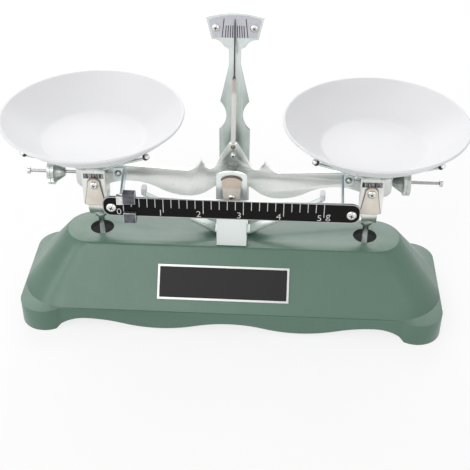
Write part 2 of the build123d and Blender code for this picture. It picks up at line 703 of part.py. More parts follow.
def make_nut(side, nose):
    """A knurled disc outboard with a cone that tapers in to its nose."""
    bore = ROD_D / 2 + FIT
    band = nose + NUT_L - NUT_BAND
    return turned([(nose, bore), (nose, NUT_NOSE_R), (nose + 1.0, NUT_NOSE_R + 0.5), (band - 0.8, NUT_R - 2.0),
                   (band, NUT_R - 0.9), (band, NUT_R - 0.3), (band + 0.3, NUT_R), (nose + NUT_L - 0.5, NUT_R),
                   (nose + NUT_L, NUT_R - 0.6), (nose + NUT_L, bore)], side)


# Pan carriers

def make_yoke(x):
    """One strap: two cheeks, and a round bottom that holds the stem."""
    window_low = KNIFE_Z - FIT
    head = Pos(x, (YOKE_SHOULDER + YOKE_TOP) / 2) * Rectangle(YOKE_W, YOKE_TOP - YOKE_SHOULDER)
    head -= Pos(x, window_low + YOKE_WINDOW_H / 2) * Rectangle(YOKE_WINDOW_W, YOKE_WINDOW_H)
    inner = YOKE_HALF - YOKE_T
    front = slab(head - Pos(x, YOKE_SCREW_Z) * Circle(SHANK_D / 2), -YOKE_HALF, -inner)
    back = slab(head, inner, YOKE_HALF)
    bend = Pos(0, YOKE_SHOULDER) * (Circle(YOKE_HALF) - Circle(inner))
    bend -= Pos(0, YOKE_SHOULDER + YOKE_HALF) * Rectangle(3 * YOKE_HALF, 2 * YOKE_HALF)
    strap = side_slab(bend, x - YOKE_STRAP_W / 2, YOKE_STRAP_W)
    body = front + back + strap
    shoulders = body.edges().filter_by(Axis.Y).filter_by(
        lambda e: abs(e.center().Z - YOKE_SHOULDER) < 0.01 and abs(e.center().X - x) > YOKE_W / 2 - 0.1)
    body = fillet(shoulders, 2.2)
    return body - Pos(x, 0, YOKE_SHOULDER - YOKE_HALF) * Cylinder(SHANK_D / 2, 4 * YOKE_T)


def make_end_bearing(x):
    """Hard bar across both cheeks, grooved below for the end knife."""
    low = KNIFE_Z - FIT
    section = Pos(x, low + YOKE_WINDOW_H / 2) * Rectangle(YOKE_WINDOW_W, YOKE_WINDOW_H)
    bar = slab(section, -YOKE_HALF - 0.2, YOKE_HALF + 0.2)
    inner = YOKE_HALF - YOKE_T
    return bar - slab(groove(x, KNIFE_Z + FIT, -1), -inner, inner)


def make_stem(x):
    """Round stem riveted to the yoke, flattened to an eye at its lower end."""
    top = YOKE_SHOULDER - YOKE_HALF
    eye_top = STAY_Z + 2 * EYE_R
    body = Pos(x, 0, (top + eye_top) / 2) * Cylinder(STEM_D / 2, top - eye_top)
    body += Pos(x, 0, top - STEM_COLLAR_H / 2) * Cylinder(STEM_COLLAR_D / 2, STEM_COLLAR_H)
    body += Pos(x, 0, top + YOKE_T) * Cylinder(SHANK_D / 2, 2 * YOKE_T)
    tongue = Pos(x, STAY_Z) * Circle(EYE_R)
    tongue += Pos(x, STAY_Z + EYE_R + 1) * Rectangle(STEM_D, 2 * EYE_R + 2)
    body += slab(tongue, -EYE_T / 2, EYE_T / 2)
    return body - rod_y(x, STAY_Z, PIN_D + 2 * FIT, -EYE_T, EYE_T)


def support_arm(x, angle):
    """One sheet arm: it slopes up under the pan's foot and ends in a small lip."""
    hub, tip, t = SUPPORT_HUB, ARM_TIP_R, SUPPORT_T
    run, height = PAN_FOOT_R - hub, PAN_FOOT_Z - SEAT - YOKE_TOP
    tilt = atan2(height, run) - asin(t / hypot(run, height))
    upright = t / cos(tilt)
    crease = hub - (upright - t) / tan(tilt)
    low, end = YOKE_TOP, YOKE_TOP + (tip - hub) * tan(tilt)
    lip = end + upright + ARM_TIP_LIP
    side = Polygon((0, low), (hub, low), (tip, end), (tip, lip), (tip - t, lip),
                   (tip - t, end + upright - t * tan(tilt)), (crease, low + t), (0, low + t), align=None)
    right = [(0, YOKE_W / 2), (hub, YOKE_W / 2), (ARM_WAIST_R, ARM_WAIST_W / 2), (tip, ARM_TIP_W / 2)]
    plan = Polygon(*right, *[(r, -w) for r, w in reversed(right)], align=None)
    arm = slab(side, -YOKE_W / 2, YOKE_W / 2) & prism(plan, PAN_RIM_Z)
    return Pos(x, 0, 0) * Rot(0, 0, angle) * arm


def make_support(x):
    hub = Pos(x, 0, YOKE_TOP + SUPPORT_T / 2) * Box(YOKE_W, 2 * YOKE_HALF, SUPPORT_T)
    body = hub
    for angle in (ARM_ANGLE, 180 - ARM_ANGLE, 180 + ARM_ANGLE, -ARM_ANGLE):
        body += support_arm(x, angle)
    return body


# Pans

def make_pan(x):
    """A plain round bowl with a flat bottom and a small bead along its rim."""
    z0, z1, t, bead = PAN_FOOT_Z, PAN_RIM_Z, PAN_WALL, PAN_RIM_H / 2
    foot = Vector(PAN_FOOT_R + PAN_FOOT_LIFT / 2, z0 + PAN_FOOT_LIFT)
    brim = Vector(PAN_R - PAN_RIM_W, z1 - PAN_RIM_H)
    inward = Vector(0, 0, 1).cross((brim - foot).normalized()) * t
    middle = (foot + brim) * 0.5 - inward * (PAN_BULGE / t)
    outer = ThreePointArc(foot, middle, brim)
    inner = ThreePointArc(foot + inward, middle + inward, brim + inward)
    flat = PAN_FOOT_R - PAN_FOOT_ROUND
    outline = face(
        Line((0, z0), (flat, z0)),
        TangentArc((flat, z0), foot, tangent=(1, 0)),
        outer,
        Line(brim, (PAN_R, z1 - bead)),
        TangentArc((PAN_R, z1 - bead), (PAN_R - bead, z1), tangent=(0, 1)),
        Line((PAN_R - bead, z1), brim + inward),
        inner,
        TangentArc((flat - t / 2, z0 + t), foot + inward, tangent=(1, 0)),
        Line((flat - t / 2, z0 + t), (0, z0 + t)),
        Line((0, z0 + t), (0, z0)))
    return Pos(x, 0, 0) * revolve(Plane.XZ * outline, Axis.Z)


# Stay inside the base

def make_stay():
    """Flat bar with three eyes, parallel to the beam's arms."""
    outline = Pos(0, STAY_Z) * SlotCenterToCenter(2 * ARM, STAY_H)
    body = slab(outline, STAY_Y, STAY_Y + STAY_T)
    body -= rod_y(0, STAY_Z, PIN_D + 2 * FIT, 0, STAY_Y + 2 * STAY_T)
    for side in (-1, 1):
        body -= rod_y(side * ARM, STAY_Z, PIN_D, 0, STAY_Y + 2 * STAY_T)
    return body


def make_stay_pin(side):
    """Headed pin fast in the stay, on which the stem's eye turns."""
    back = STAY_Y + STAY_T
    pin = rod_y(side * ARM, STAY_Z, PIN_D, -EYE_T / 2 - PIN_HEAD_H, back + PIN_HEAD_H)
    return pin + rod_y(side * ARM, STAY_Z, PIN_HEAD_D, back, back + PIN_HEAD_H)


def make_stay_bracket():
    """Angle under the base top whose two ears hold the stay's middle pin."""
    roof = BASE_TOP - BASE_WALL
    near = STAY_Y - BRACKET_GAP - BRACKET_T
    far = STAY_Y + STAY_T + BRACKET_GAP
    drop = roof - STAY_Z + BRACKET_T + PIN_D
    ear = Pos(0, roof - drop / 2) * Rectangle(BRACKET_W, drop)
    body = Pos(0, 0, roof - BRACKET_T / 2) * Box(BRACKET_W, 2 * (COLUMN_SCREW_Y + COLUMN_NUT_R + 1), BRACKET_T)
    body += slab(ear, near, near + BRACKET_T) + slab(ear, far, far + BRACKET_T)
    for side in (-1, 1):
        body -= Pos(0, side * COLUMN_SCREW_Y, roof) * Cylinder(COLUMN_SCREW_D / 2, 4 * BRACKET_T)
    return body - rod_y(0, STAY_Z, PIN_D, near - 1, far + 2 * BRACKET_T)


def make_centre_pin():
    near = STAY_Y - BRACKET_GAP - BRACKET_T
    far = STAY_Y + STAY_T + BRACKET_GAP + BRACKET_T
    head = rod_y(0, STAY_Z, PIN_HEAD_D, near - PIN_HEAD_H, near)
    return head + rod_y(0, STAY_Z, PIN_D, near, far)


def make_nut_under(y):
    """Hexagon nut under the stay bracket."""
    roof = BASE_TOP - BASE_WALL - BRACKET_T
    body = Pos(0, y, roof - COLUMN_NUT_H) * prism(RegularPolygon(COLUMN_NUT_R, 6), COLUMN_NUT_H)
    return body - Pos(0, y, roof) * Cylinder(COLUMN_SCREW_D / 2, 4 * COLUMN_NUT_H)


# Beam stop

def make_beam_stop():
    """Strap across the column's foot, with two arms that rise under the beam."""
    low, bend, tip = BASE_TOP + COLUMN_T, STRAP_RISE_Z, STRAP_RISE_Z + STRAP_TIP_H
    a, b, t = STRAP_FLAT, STRAP_REACH, STRAP_T
    slope = (bend - low) / (b - a)
    upright = t * hypot(1, slope)
    right = [(a, low), (b + t, bend + t * slope), (b + t, tip), (b, tip), (b, bend + upright),
             (a, low + upright)]
    side = Polygon(*right, *[(-x, z) for x, z in reversed(right)], align=None)
    w, v = STRAP_W / 2, STRAP_TIP_W / 2
    corner = [(a, w), (b, v), (b + 2 * t, v)]
    half = corner + [(x, -y) for x, y in reversed(corner)]
    plan = Polygon(*half, *[(-x, -y) for x, y in half], align=None)
    return slab(side, -w, w) & prism(plan, KNIFE_Z)


def make_sleeve(side):
    """Soft sleeve on the upturned end of a stop arm."""
    x, wall = side * (STRAP_REACH + STRAP_T / 2), SLEEVE_WALL
    top = STRAP_RISE_Z + STRAP_TIP_H
    tube = Pos(x, 0, top + wall - SLEEVE_H / 2) * Box(STRAP_T + 2 * wall, STRAP_TIP_W + 2 * wall, SLEEVE_H)
    tube = fillet(tube.edges().filter_by(Axis.Z), wall)
    return tube - Pos(x, 0, top - STRAP_TIP_H / 2) * Box(STRAP_T, STRAP_TIP_W, STRAP_TIP_H)


# Root body
save("base_casting", make_base())
save("name_plate", make_plate())
save("column_bracket", make_column())
save("dial_plate", make_dial())
front_block, rear_block = make_centre_bearings()
save("front_bearing", front_block)
save("rear_bearing", rear_block)
column_cover = cover_outline(COVER_TOP, COVER_R, COVER_LOW, COVER_LOW_W)
save("column_cover", cover_plate(0, column_cover, COLUMN_FRONT, COVER_SCREW_Z))
save("column_cover_screw", screw_y(0, COVER_SCREW_Z, HEAD_D, COLUMN_FRONT - COVER_T, COVER_T + COLUMN_T))
dial_face = COLUMN_INNER - DIAL_T
save("dial_screws", *[screw_y(s * DIAL_SCREW_X, DIAL_SCREW_Z, DIAL_HEAD_D, dial_face, DIAL_T + COLUMN_T)
                      for s in (-1, 1)])
screw_length = COLUMN_T + BASE_WALL + BRACKET_T + 4
save("column_screws", *[screw_z(s * COLUMN_SCREW_Y, BASE_TOP + COLUMN_T, screw_length) for s in (-1, 1)])
save("column_nuts", *[make_nut_under(s * COLUMN_SCREW_Y) for s in (-1, 1)])
save("stay_bracket", make_stay_bracket())
save("stay_centre_pin", make_centre_pin())
save("beam_stop", make_beam_stop())
save("stop_sleeves", *[make_sleeve(s) for s in (-1, 1)])

# Beam body
centre_knife, end_knives = make_knives()
save("beam", make_beam())
save("centre_knife", centre_knife)
save("pointer", make_pointer())
save("pointer_screw", screw_y(0, POINTER_SCREW_Z, POINTER_HEAD_D, -BEAM_DEPTH / 2, BEAM_T + POINTER_T))
save("scale_bar", make_bar())
save("scale_bar_screws", *[screw_y(s * BAR_SCREW_X, BAR_SCREW_Z, BAR_HEAD_D, BAR_FRONT, BAR_T + HANGER_T)
                           for s in (-1, 1)])
save("hanger_rivets", *[make_rivet(s) for s in (-1, 1)])
save("zero_stop", make_zero_stop())

# Sliding pieces on the beam
save("rider", make_rider())
save("left_balance_nut", make_nut(-1, LEFT_NUT_X))
save("right_balance_nut", make_nut(1, RIGHT_NUT_X))

# Pieces of which the left and the right one are alike
save("lower_stay", make_stay())
yoke_cover = cover_outline(YOKE_COVER_TOP, YOKE_COVER_R, YOKE_COVER_LOW, YOKE_COVER_W)
for side, hand in ((-1, "left"), (1, "right")):
    x = side * ARM
    save(f"{hand}_end_knife", end_knives[(side + 1) // 2])
    save(f"{hand}_hanger", make_hanger(side))
    save(f"{hand}_balance_rod", make_rod(side))
    save(f"{hand}_yoke", make_yoke(x))
    save(f"{hand}_bearing", make_end_bearing(x))
    save(f"{hand}_yoke_cover", cover_plate(x, yoke_cover, -YOKE_HALF - 0.2, YOKE_SCREW_Z))
    save(f"{hand}_yoke_screw", screw_y(x, YOKE_SCREW_Z, HEAD_D, -YOKE_HALF - 0.2 - COVER_T, COVER_T + YOKE_T))
    save(f"{hand}_stem", make_stem(x))
    save(f"{hand}_pan_support", make_support(x))
    save(f"{hand}_pan", make_pan(x))
    save(f"{hand}_stay_pin", make_stay_pin(side))
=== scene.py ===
import bpy
from math import pi, radians
from mathutils import Matrix, Vector


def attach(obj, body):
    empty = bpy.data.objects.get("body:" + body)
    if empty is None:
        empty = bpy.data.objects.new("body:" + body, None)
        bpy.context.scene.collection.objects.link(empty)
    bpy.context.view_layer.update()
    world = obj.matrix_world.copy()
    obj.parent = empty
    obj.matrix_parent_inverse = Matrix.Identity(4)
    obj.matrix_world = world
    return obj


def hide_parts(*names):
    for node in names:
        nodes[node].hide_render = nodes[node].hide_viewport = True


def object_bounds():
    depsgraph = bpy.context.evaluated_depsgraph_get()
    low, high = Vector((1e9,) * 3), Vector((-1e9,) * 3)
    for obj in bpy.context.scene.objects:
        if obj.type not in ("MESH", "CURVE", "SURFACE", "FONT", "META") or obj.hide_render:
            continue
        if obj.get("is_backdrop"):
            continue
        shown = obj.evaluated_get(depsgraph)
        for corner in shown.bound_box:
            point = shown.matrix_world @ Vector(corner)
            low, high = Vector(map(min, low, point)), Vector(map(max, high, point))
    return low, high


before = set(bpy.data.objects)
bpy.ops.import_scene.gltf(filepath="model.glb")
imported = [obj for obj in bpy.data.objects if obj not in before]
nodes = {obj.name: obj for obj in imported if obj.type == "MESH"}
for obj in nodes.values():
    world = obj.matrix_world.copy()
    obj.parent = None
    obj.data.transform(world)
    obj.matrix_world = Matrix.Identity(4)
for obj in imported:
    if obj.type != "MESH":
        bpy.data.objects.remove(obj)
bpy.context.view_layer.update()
MM = 0.001                               # sizes are in millimetres unless they say otherwise

# The studio: a white table top and backdrop, one large soft light behind, softer ones in front
# and to both sides, and the camera of the photograph. Nothing here is part of the balance.


class Value:
    """A socket of a material, with arithmetic written as for numbers."""

    def __init__(self, tree, socket):
        self.tree, self.socket = tree, socket

    def node(self, kind, settings, inputs, output=0):
        """A further node: its settings come first, then its sockets by name or number."""
        made = self.tree.nodes.new(kind)
        for name, setting in settings.items():
            setattr(made, name, setting)
        for name, given in inputs.items():
            if isinstance(given, Value):
                self.tree.links.new(given.socket, made.inputs[name])
            else:
                made.inputs[name].default_value = given
        return Value(self.tree, made.outputs[output])

    def maths(self, operation, *others):
        """This value and the others, put together by a named operation."""
        terms = dict(enumerate((self,) + others))
        return self.node("ShaderNodeMath", {"operation": operation}, terms)

    def __add__(self, other):
        return self.maths("ADD", other)

    def __sub__(self, other):
        return self.maths("SUBTRACT", other)

    def __mul__(self, other):
        return self.maths("MULTIPLY", other)

    __radd__ = __add__

    def either(self, other):
        return self.maths("MAXIMUM", other)

    def tint(self, low, high):
        """A colour between two, by this value."""
        sockets = {0: self, 6: low, 7: high}
        return self.node("ShaderNodeMix", {"data_type": "RGBA"}, sockets, output=2)

    def ramp(self, start, end):
        """From 0 at one value to 1 at another, and flat past both."""
        return self.node("ShaderNodeMapRange", {"interpolation_type": "SMOOTHSTEP"},
                         {"Value": self, "From Min": start, "From Max": end})


def grey(level):
    return (level, level, level, 1.0)


def seen_by_eye_or_gloss(tree):
    """1 for a ray that shows the backdrop directly, in a reflection or through a part."""
    path = tree.nodes.new("ShaderNodeLightPath")
    kinds = ("Is Camera Ray", "Is Glossy Ray", "Is Transmission Ray")
    eye, gloss, through = (Value(tree, path.outputs[kind]) for kind in kinds)
    return eye.either(gloss).either(through)


def light_room(fill, shown):
    """An even light of one strength, which the eye and reflections see as white."""
    world = bpy.data.worlds.new("room")
    bpy.context.scene.world = world
    world.use_nodes = True
    tree = world.node_tree
    background = tree.nodes["Background"]
    colour = seen_by_eye_or_gloss(tree).tint(grey(fill), grey(shown))
    tree.links.new(colour.socket, background.inputs["Color"])


def soft_light(name, place, aim, size, power):
    """A flat lamp with a width and a height in metres and its power in watts."""
    lamp = bpy.data.lights.new(name, "AREA")
    lamp.shape = "RECTANGLE"
    lamp.size, lamp.size_y = size
    lamp.energy = power
    stand = bpy.data.objects.new(name, lamp)
    stand.location = place
    stand.rotation_euler = (Vector(aim) - Vector(place)).to_track_quat("-Z", "Y").to_euler()
    bpy.context.collection.objects.link(stand)


def lay_table():
    """White cloth that still takes the balance's shadow."""
    bpy.ops.mesh.primitive_plane_add(size=8.0, location=(0, 0, -0.0002))
    table = bpy.context.object
    table.name = "table_top"
    finish = bpy.data.materials.new("table_white")
    finish.use_nodes = True
    tree = finish.node_tree
    tree.nodes.clear()
    cloth = tree.nodes.new("ShaderNodeBsdfDiffuse")
    cloth.inputs["Color"].default_value = grey(0.94)
    glow = tree.nodes.new("ShaderNodeEmission")
    glow.inputs["Color"].default_value = grey(1.0)
    glow.inputs["Strength"].default_value = 1.0
    share = tree.nodes.new("ShaderNodeMixShader")
    tree.links.new((seen_by_eye_or_gloss(tree) * 0.8).socket, share.inputs["Fac"])
    tree.links.new(cloth.outputs[0], share.inputs[1])
    tree.links.new(glow.outputs[0], share.inputs[2])
    out = tree.nodes.new("ShaderNodeOutputMaterial")
    tree.links.new(share.outputs[0], out.inputs["Surface"])
    table.data.materials.append(finish)
    table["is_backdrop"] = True


bpy.context.scene.view_settings.view_transform = "Standard"
light_room(fill=0.49, shown=1.0)
soft_light("overhead_light", (-0.1, 0.95, 0.80), (0, 0, 0.08), (1.3, 0.8), 8.5)
soft_light("front_light", (-0.5, -0.9, 0.9), (0, 0, 0.08), (0.9, 0.6), 5.0)
soft_light("right_light", (0.8, -0.8, 0.5), (0, 0, 0.08), (0.5, 0.5), 1.4)
soft_light("left_strip", (-0.9, -0.35, 0.5), (0, 0, 0.05), (0.15, 0.8), 1.6)
lay_table()

FRAME_SIDE = 470.0                       # pixels of the photograph, each way
FOCAL_LENGTH = 975.0                     # in the same pixels
AXIS_X, AXIS_Y = 226.46, 237.69          # where the lens axis meets the photograph
SENSOR = 36.0
camera_data = bpy.data.cameras.new("camera")
camera = bpy.data.objects.new("camera", camera_data)
camera.location = Vector((27.2, -537.5, 447.6)) * MM
aim = Vector((-4.37, 0.0, 45.06)) * MM
camera.rotation_euler = (aim - camera.location).to_track_quat("-Z", "Y").to_euler()
camera_data.sensor_width = SENSOR
camera_data.lens = FOCAL_LENGTH / FRAME_SIDE * SENSOR
camera_data.shift_x = (FRAME_SIDE / 2 - AXIS_X) / FRAME_SIDE
camera_data.shift_y = (AXIS_Y - FRAME_SIDE / 2) / FRAME_SIDE
camera_data.clip_start = 0.01
bpy.context.collection.objects.link(camera)
bpy.context.scene.camera = camera

# Base: a hollow iron casting with four corner feet, sprayed with semi-gloss grey-green enamel
# that rounds its edges and shows a slight orange peel.


class Finish:
    """A material with one main shader. Its sockets take numbers, colours or values."""

    def __init__(self, name, **sockets):
        self.material = bpy.data.materials.new(name)
        self.material.use_nodes = True
        tree = self.material.node_tree
        self.shader = tree.nodes["Principled BSDF"]
        where = tree.nodes.new("ShaderNodeTexCoord")
        self.place = Value(tree, where.outputs["Object"])
        self.set(**sockets)

    def set(self, **sockets):
        for name, given in sockets.items():
            plug = self.shader.inputs[name.replace("_", " ")]
            if isinstance(given, Value):
                self.place.tree.links.new(given.socket, plug)
            else:
                plug.default_value = given

    def noise(self, scale, detail, stretch=(1, 1, 1)):
        """A soft random pattern with features of about 1/scale metres, drawn out along an axis."""
        where = self.place.node("ShaderNodeMapping", {}, {"Vector": self.place, "Scale": stretch})
        inputs = {"Vector": where, "Scale": scale, "Detail": detail}
        return self.place.node("ShaderNodeTexNoise", {}, inputs)

    def axis(self, index):
        """The place along X, Y or Z, as 0, 1 or 2, in metres."""
        return self.place.node("ShaderNodeSeparateXYZ", {}, {0: self.place}, output=index)

    def relief(self, height, depth):
        """Surface relief of the given depth in metres."""
        inputs = {"Height": height, "Distance": depth, "Strength": 1.0}
        self.set(Normal=self.place.node("ShaderNodeBump", {}, inputs))


def enamel():
    """Grey-green enamel, with a little dust and orange peel."""
    paint = Finish("green_enamel", Coat_Weight=0.25, Coat_Roughness=0.22)
    cloud = paint.noise(14, 4)
    speck = paint.noise(900, 2).ramp(0.68, 0.78)
    tone = cloud.ramp(0.35, 0.65).tint((0.077, 0.156, 0.112, 1), (0.090, 0.175, 0.128, 1))
    paint.set(Base_Color=(speck * 0.25).tint(tone, (0.26, 0.36, 0.31, 1)))
    paint.set(Roughness=0.34 + paint.noise(60, 3) * 0.14)
    paint.relief(paint.noise(420, 2) + paint.noise(60, 2) * 0.8, 0.00012)
    return paint.material


def rest():
    """Nothing selected, in object mode, and corners as what edit mode selects."""
    if bpy.context.object and bpy.context.object.mode != "OBJECT":
        bpy.ops.object.mode_set(mode="OBJECT")
    bpy.ops.object.select_all(action="DESELECT")
    bpy.context.tool_settings.mesh_select_mode = (True, False, False)


def take(piece):
    """Only this piece selected and active."""
    rest()
    piece.select_set(True)
    bpy.context.view_layer.objects.active = piece


def modify(piece, kind, **settings):
    """Add a modifier and apply it."""
    take(piece)
    modifier = piece.modifiers.new(kind.lower(), kind)
    for name, setting in settings.items():
        setattr(modifier, name, setting)
    bpy.ops.object.modifier_apply(modifier=modifier.name)


def smooth(piece, angle=32):
    """Smooth shading, apart from edges sharper than the angle in degrees."""
    take(piece)
    bpy.ops.object.shade_smooth_by_angle(angle=radians(angle))


def softened(node, body, width, material, edge=None, segments=2, shape=None):
    """Stands for a CAD node, with edges rounded over as paint or a press tool leaves them.

    The width of the rounding is in millimetres, and it takes the edge material. What shape does
    to the piece comes before it.
    """
    piece = bpy.data.objects.new(node + "_finished", nodes[node].data.copy())
    bpy.context.collection.objects.link(piece)
    piece.data.materials.clear()
    for finish in (material, edge) if edge else (material,):
        piece.data.materials.append(finish)
    take(piece)
    bpy.ops.object.mode_set(mode="EDIT")
    bpy.ops.mesh.select_all(action="SELECT")
    bpy.ops.mesh.remove_doubles(threshold=0.000002)
    bpy.ops.mesh.dissolve_limited(angle_limit=radians(0.6))
    bpy.ops.object.mode_set(mode="OBJECT")
    if shape:
        shape(piece)
    modify(piece, "BEVEL", width=width * MM, segments=segments, limit_method="ANGLE",
           angle_limit=radians(28), miter_outer="MITER_ARC", material=1 if edge else -1)
    smooth(piece)
    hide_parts(node)
    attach(piece, body)
    return piece


def bare_iron():
    """Painted shade: the inside of the casting, near black for the shade in there."""
    iron = Finish("bare_iron", Metallic=0.3)
    cloud = iron.noise(120, 4)
    iron.set(Base_Color=cloud.tint((0.020, 0.028, 0.024, 1), (0.05, 0.062, 0.055, 1)))
    iron.set(Roughness=0.6 + cloud * 0.2)
    return iron.material


def repaint(piece, slot, test):
    """Give the faces that pass the test the material of another slot."""
    for face in piece.data.polygons:
        if test(face):
            face.material_index = slot


HOLE_PLACE, HOLE_REACH = 90.0, 10.5      # of the stem holes, from the middle and round each
FEET_TOP = 14.0


def inside(face):
    """A wall or the roof of the hollow, or the wall of a stem hole."""
    place, out = face.center.xy, face.normal.xy
    hole = Vector((abs(place.x) - HOLE_PLACE * MM, place.y)).length < HOLE_REACH * MM
    wall = place.dot(out) < 0 and face.center.z > FEET_TOP * MM
    upright = abs(face.normal.z) < 0.5
    return face.normal.z < -0.5 or upright and (hole or wall)


casting = softened("base_casting", "base", 1.1, enamel(), segments=3)
casting.data.materials.append(bare_iron())
# Painted shade: the walls and roof of the hollow and the walls of the stem holes take the near-black
# finish.
repaint(casting, 1, inside)

# Blank plate on the front slope: a thin bright sheet with a raised frame. Its field is printed
# in satin black and left bare. Glued to the casting.


def finished(piece, name, body, slot, *materials):
    """Name a new piece and give it its finish and the body that it moves with."""
    piece.name = name
    for material in materials:
        piece.data.materials.append(material)
    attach(piece, body)


def coat(material, *names):
    """Give CAD nodes that keep their shape a finish."""
    for name in names:
        for place in nodes[name].material_slots:
            place.material = material


def plate_silver():
    """Thin aluminium, brushed along its length."""
    metal = Finish("plate_silver", Metallic=1.0)
    brush = metal.noise(40, 3, (1, 40, 40))
    metal.set(Base_Color=brush.tint((0.40, 0.41, 0.40, 1), (0.60, 0.61, 0.60, 1)))
    metal.set(Roughness=0.28 + brush * 0.15)
    return metal.material


def satin_black(name, low, high, gloss=0.4, smooth_at=0.36):
    """Screen-printed black with a slight mottle and fine dust."""
    black = Finish(name, Specular_IOR_Level=gloss)
    cloud = black.noise(70, 4)
    dust = black.noise(1400, 2).ramp(0.70, 0.80)
    black.set(Base_Color=(dust * 0.15 + cloud * 0.25).tint(low, high))
    black.set(Roughness=smooth_at + cloud * 0.18)
    black.relief(black.noise(700, 2), 0.00004)
    return black.material


SLOPE_UP = Vector((0, 28.0, 34.5)).normalized()
SLOPE_HEAD = Vector((-4.6, -18.5, 51.0))  # where the slope ends above the plate's middle
PLATE_DOWN = 24.5                        # from there down the slope to the plate's middle
FIELD_WIDTH, FIELD_HEIGHT, FIELD_CORNER, FIELD_THICK = 85.2, 20.6, 0.5, 0.18
FIELD_LIFT = 0.56                        # of the field's back above the slope
slope_lean = SLOPE_UP.angle(Vector((0, 1, 0)))
plate_middle = SLOPE_HEAD * MM - SLOPE_UP * PLATE_DOWN * MM
coat(plate_silver(), "name_plate")
rest()
bpy.ops.mesh.primitive_plane_add(size=1.0)
field = bpy.context.object
bpy.ops.object.mode_set(mode="EDIT")
bpy.ops.transform.resize(value=(FIELD_WIDTH * MM, FIELD_HEIGHT * MM, 1))
bpy.ops.mesh.bevel(offset=FIELD_CORNER * MM, segments=3, affect="VERTICES")
bpy.ops.mesh.extrude_region_move(TRANSFORM_OT_translate={"value": (0, 0, FIELD_THICK * MM)})
bpy.ops.mesh.select_all(action="SELECT")
bpy.ops.mesh.normals_make_consistent(inside=False)
bpy.ops.object.mode_set(mode="OBJECT")
slope_turn = Matrix.Rotation(slope_lean, 4, "X")
slope_out = Vector((0, -SLOPE_UP.z, SLOPE_UP.y))
field.data.transform(Matrix.Translation(plate_middle + slope_out * FIELD_LIFT * MM) @ slope_turn)
finished(field, "plate_black_field", "base", "black_print",
         satin_black("plate_black", (0.010, 0.010, 0.011, 1), (0.04, 0.04, 0.04, 1), gloss=0.25))

# Column: one strip of zinc-plated sheet bent to a channel, whose rear wall rises behind the beam
# to a fan-shaped head. Two screws hold it down through the base.


def zinc(name, low, high, grain, smooth_at=0.26, lighter=None):
    """Zinc plating: cloudy, faintly green and blue, with rolling marks along the sheet."""
    metal = Finish(name, Metallic=1.0)
    cloud = metal.noise(45, 5)
    marks = metal.noise(60, 3, grain)
    tone = (cloud * 0.6 + marks * 0.4).ramp(0.35, 0.65).tint(low, high)
    # Where a mask is given, it paints light: the zinc is tinted towards a pale colour there.
    if lighter:
        tone = lighter(metal).tint(tone, (0.86, 0.90, 0.88, 1))
    metal.set(Base_Color=tone, Roughness=smooth_at + marks * 0.16 + cloud * 0.06)
    metal.relief(marks + metal.noise(500, 2) * 0.4, 0.00003)
    return metal.material


def front_and_top(metal):
    """Painted light: the front cheek is painted the brightest part of the strip, and its top a
    little brighter.
    """
    return metal.axis(1).ramp(-0.009, -0.013) * 0.8 + metal.axis(2).ramp(0.145, 0.170) * 0.5


def pick(piece, test, kind="FACE"):
    """Edit this piece, with only the faces or corners selected that pass the test."""
    take(piece)
    bpy.ops.object.mode_set(mode="EDIT")
    bpy.ops.mesh.select_mode(type=kind)
    bpy.ops.mesh.select_all(action="DESELECT")
    bpy.ops.object.mode_set(mode="OBJECT")
    for part in piece.data.polygons if kind == "FACE" else piece.data.vertices:
        part.select = test(part)
    bpy.ops.object.mode_set(mode="EDIT")


CHEEK_BACK = -16.4
ARC_FOOT, ARC_TOP = 105.7, 110.7


def flatter_arc(piece):
    """The front cheek ends in a low arc."""
    pick(piece, lambda corner: corner.co.y < CHEEK_BACK * MM and corner.co.z > ARC_FOOT * MM, "VERT")
    bpy.ops.transform.resize(value=(1, 1, 0.6), center_override=(0, -0.018, ARC_TOP * MM))
    bpy.ops.object.mode_set(mode="OBJECT")


# Painted light and shade: a darker zinc for upright sheet, with the front cheek and the head's top
# painted lighter.
zinc_upright_painted_light = zinc("zinc_upright_painted_light", (0.46, 0.53, 0.50, 1), (0.62, 0.68, 0.65, 1), (14, 14, 1),
                    lighter=front_and_top)
# Painted shade and dark reflection: the rounded edges of the sheet pieces take this dark zinc.
painted_edge_shade = zinc("painted_edge_shade", (0.14, 0.15, 0.14, 1), (0.30, 0.31, 0.30, 1), (1, 1, 1), 0.34)
column = softened("column_bracket", "base", 0.3, zinc_upright_painted_light, painted_edge_shade,
                  shape=flatter_arc)
# Painted shade: the sides of the column that face right take the dark edge zinc as well.
repaint(column, 1, lambda face: face.normal.x > 0.7)

# Screws of the column, and their nuts below the base's roof: turned steel, plainly plated. They
# clamp the column's foot to the casting.


def plated_steel(name, low, high, roughness):
    """Nickel or zinc on turned steel: bright, with faint turning marks and dull spots."""
    metal = Finish(name, Metallic=1.0)
    cloud = metal.noise(160, 4)
    metal.set(Base_Color=cloud.ramp(0.3, 0.7).tint(low, high), Roughness=roughness + cloud * 0.14)
    metal.relief(metal.noise(900, 2), 0.00002)
    return metal.material


screw_steel = plated_steel("screw_steel", (0.60, 0.60, 0.58, 1), (0.80, 0.80, 0.78, 1), 0.14)
# Painted shade: near-black steel for the inside of the cross recesses, as the shade deep in them.
recess_shade = plated_steel("recess_shade", (0.02, 0.02, 0.02, 1), (0.07, 0.07, 0.07, 1), 0.5)
dull_steel = plated_steel("dull_steel", (0.28, 0.28, 0.27, 1), (0.42, 0.42, 0.40, 1), 0.34)
softened("column_screws", "base", 0.3, screw_steel)
softened("column_nuts", "base", 0.2, screw_steel)

# Cover of the column's cheek: moulded cream plastic that narrows downwards, with an arched top
# under a thin dark brown lip, partly its rim and partly painted shade. One pan-head screw holds it.


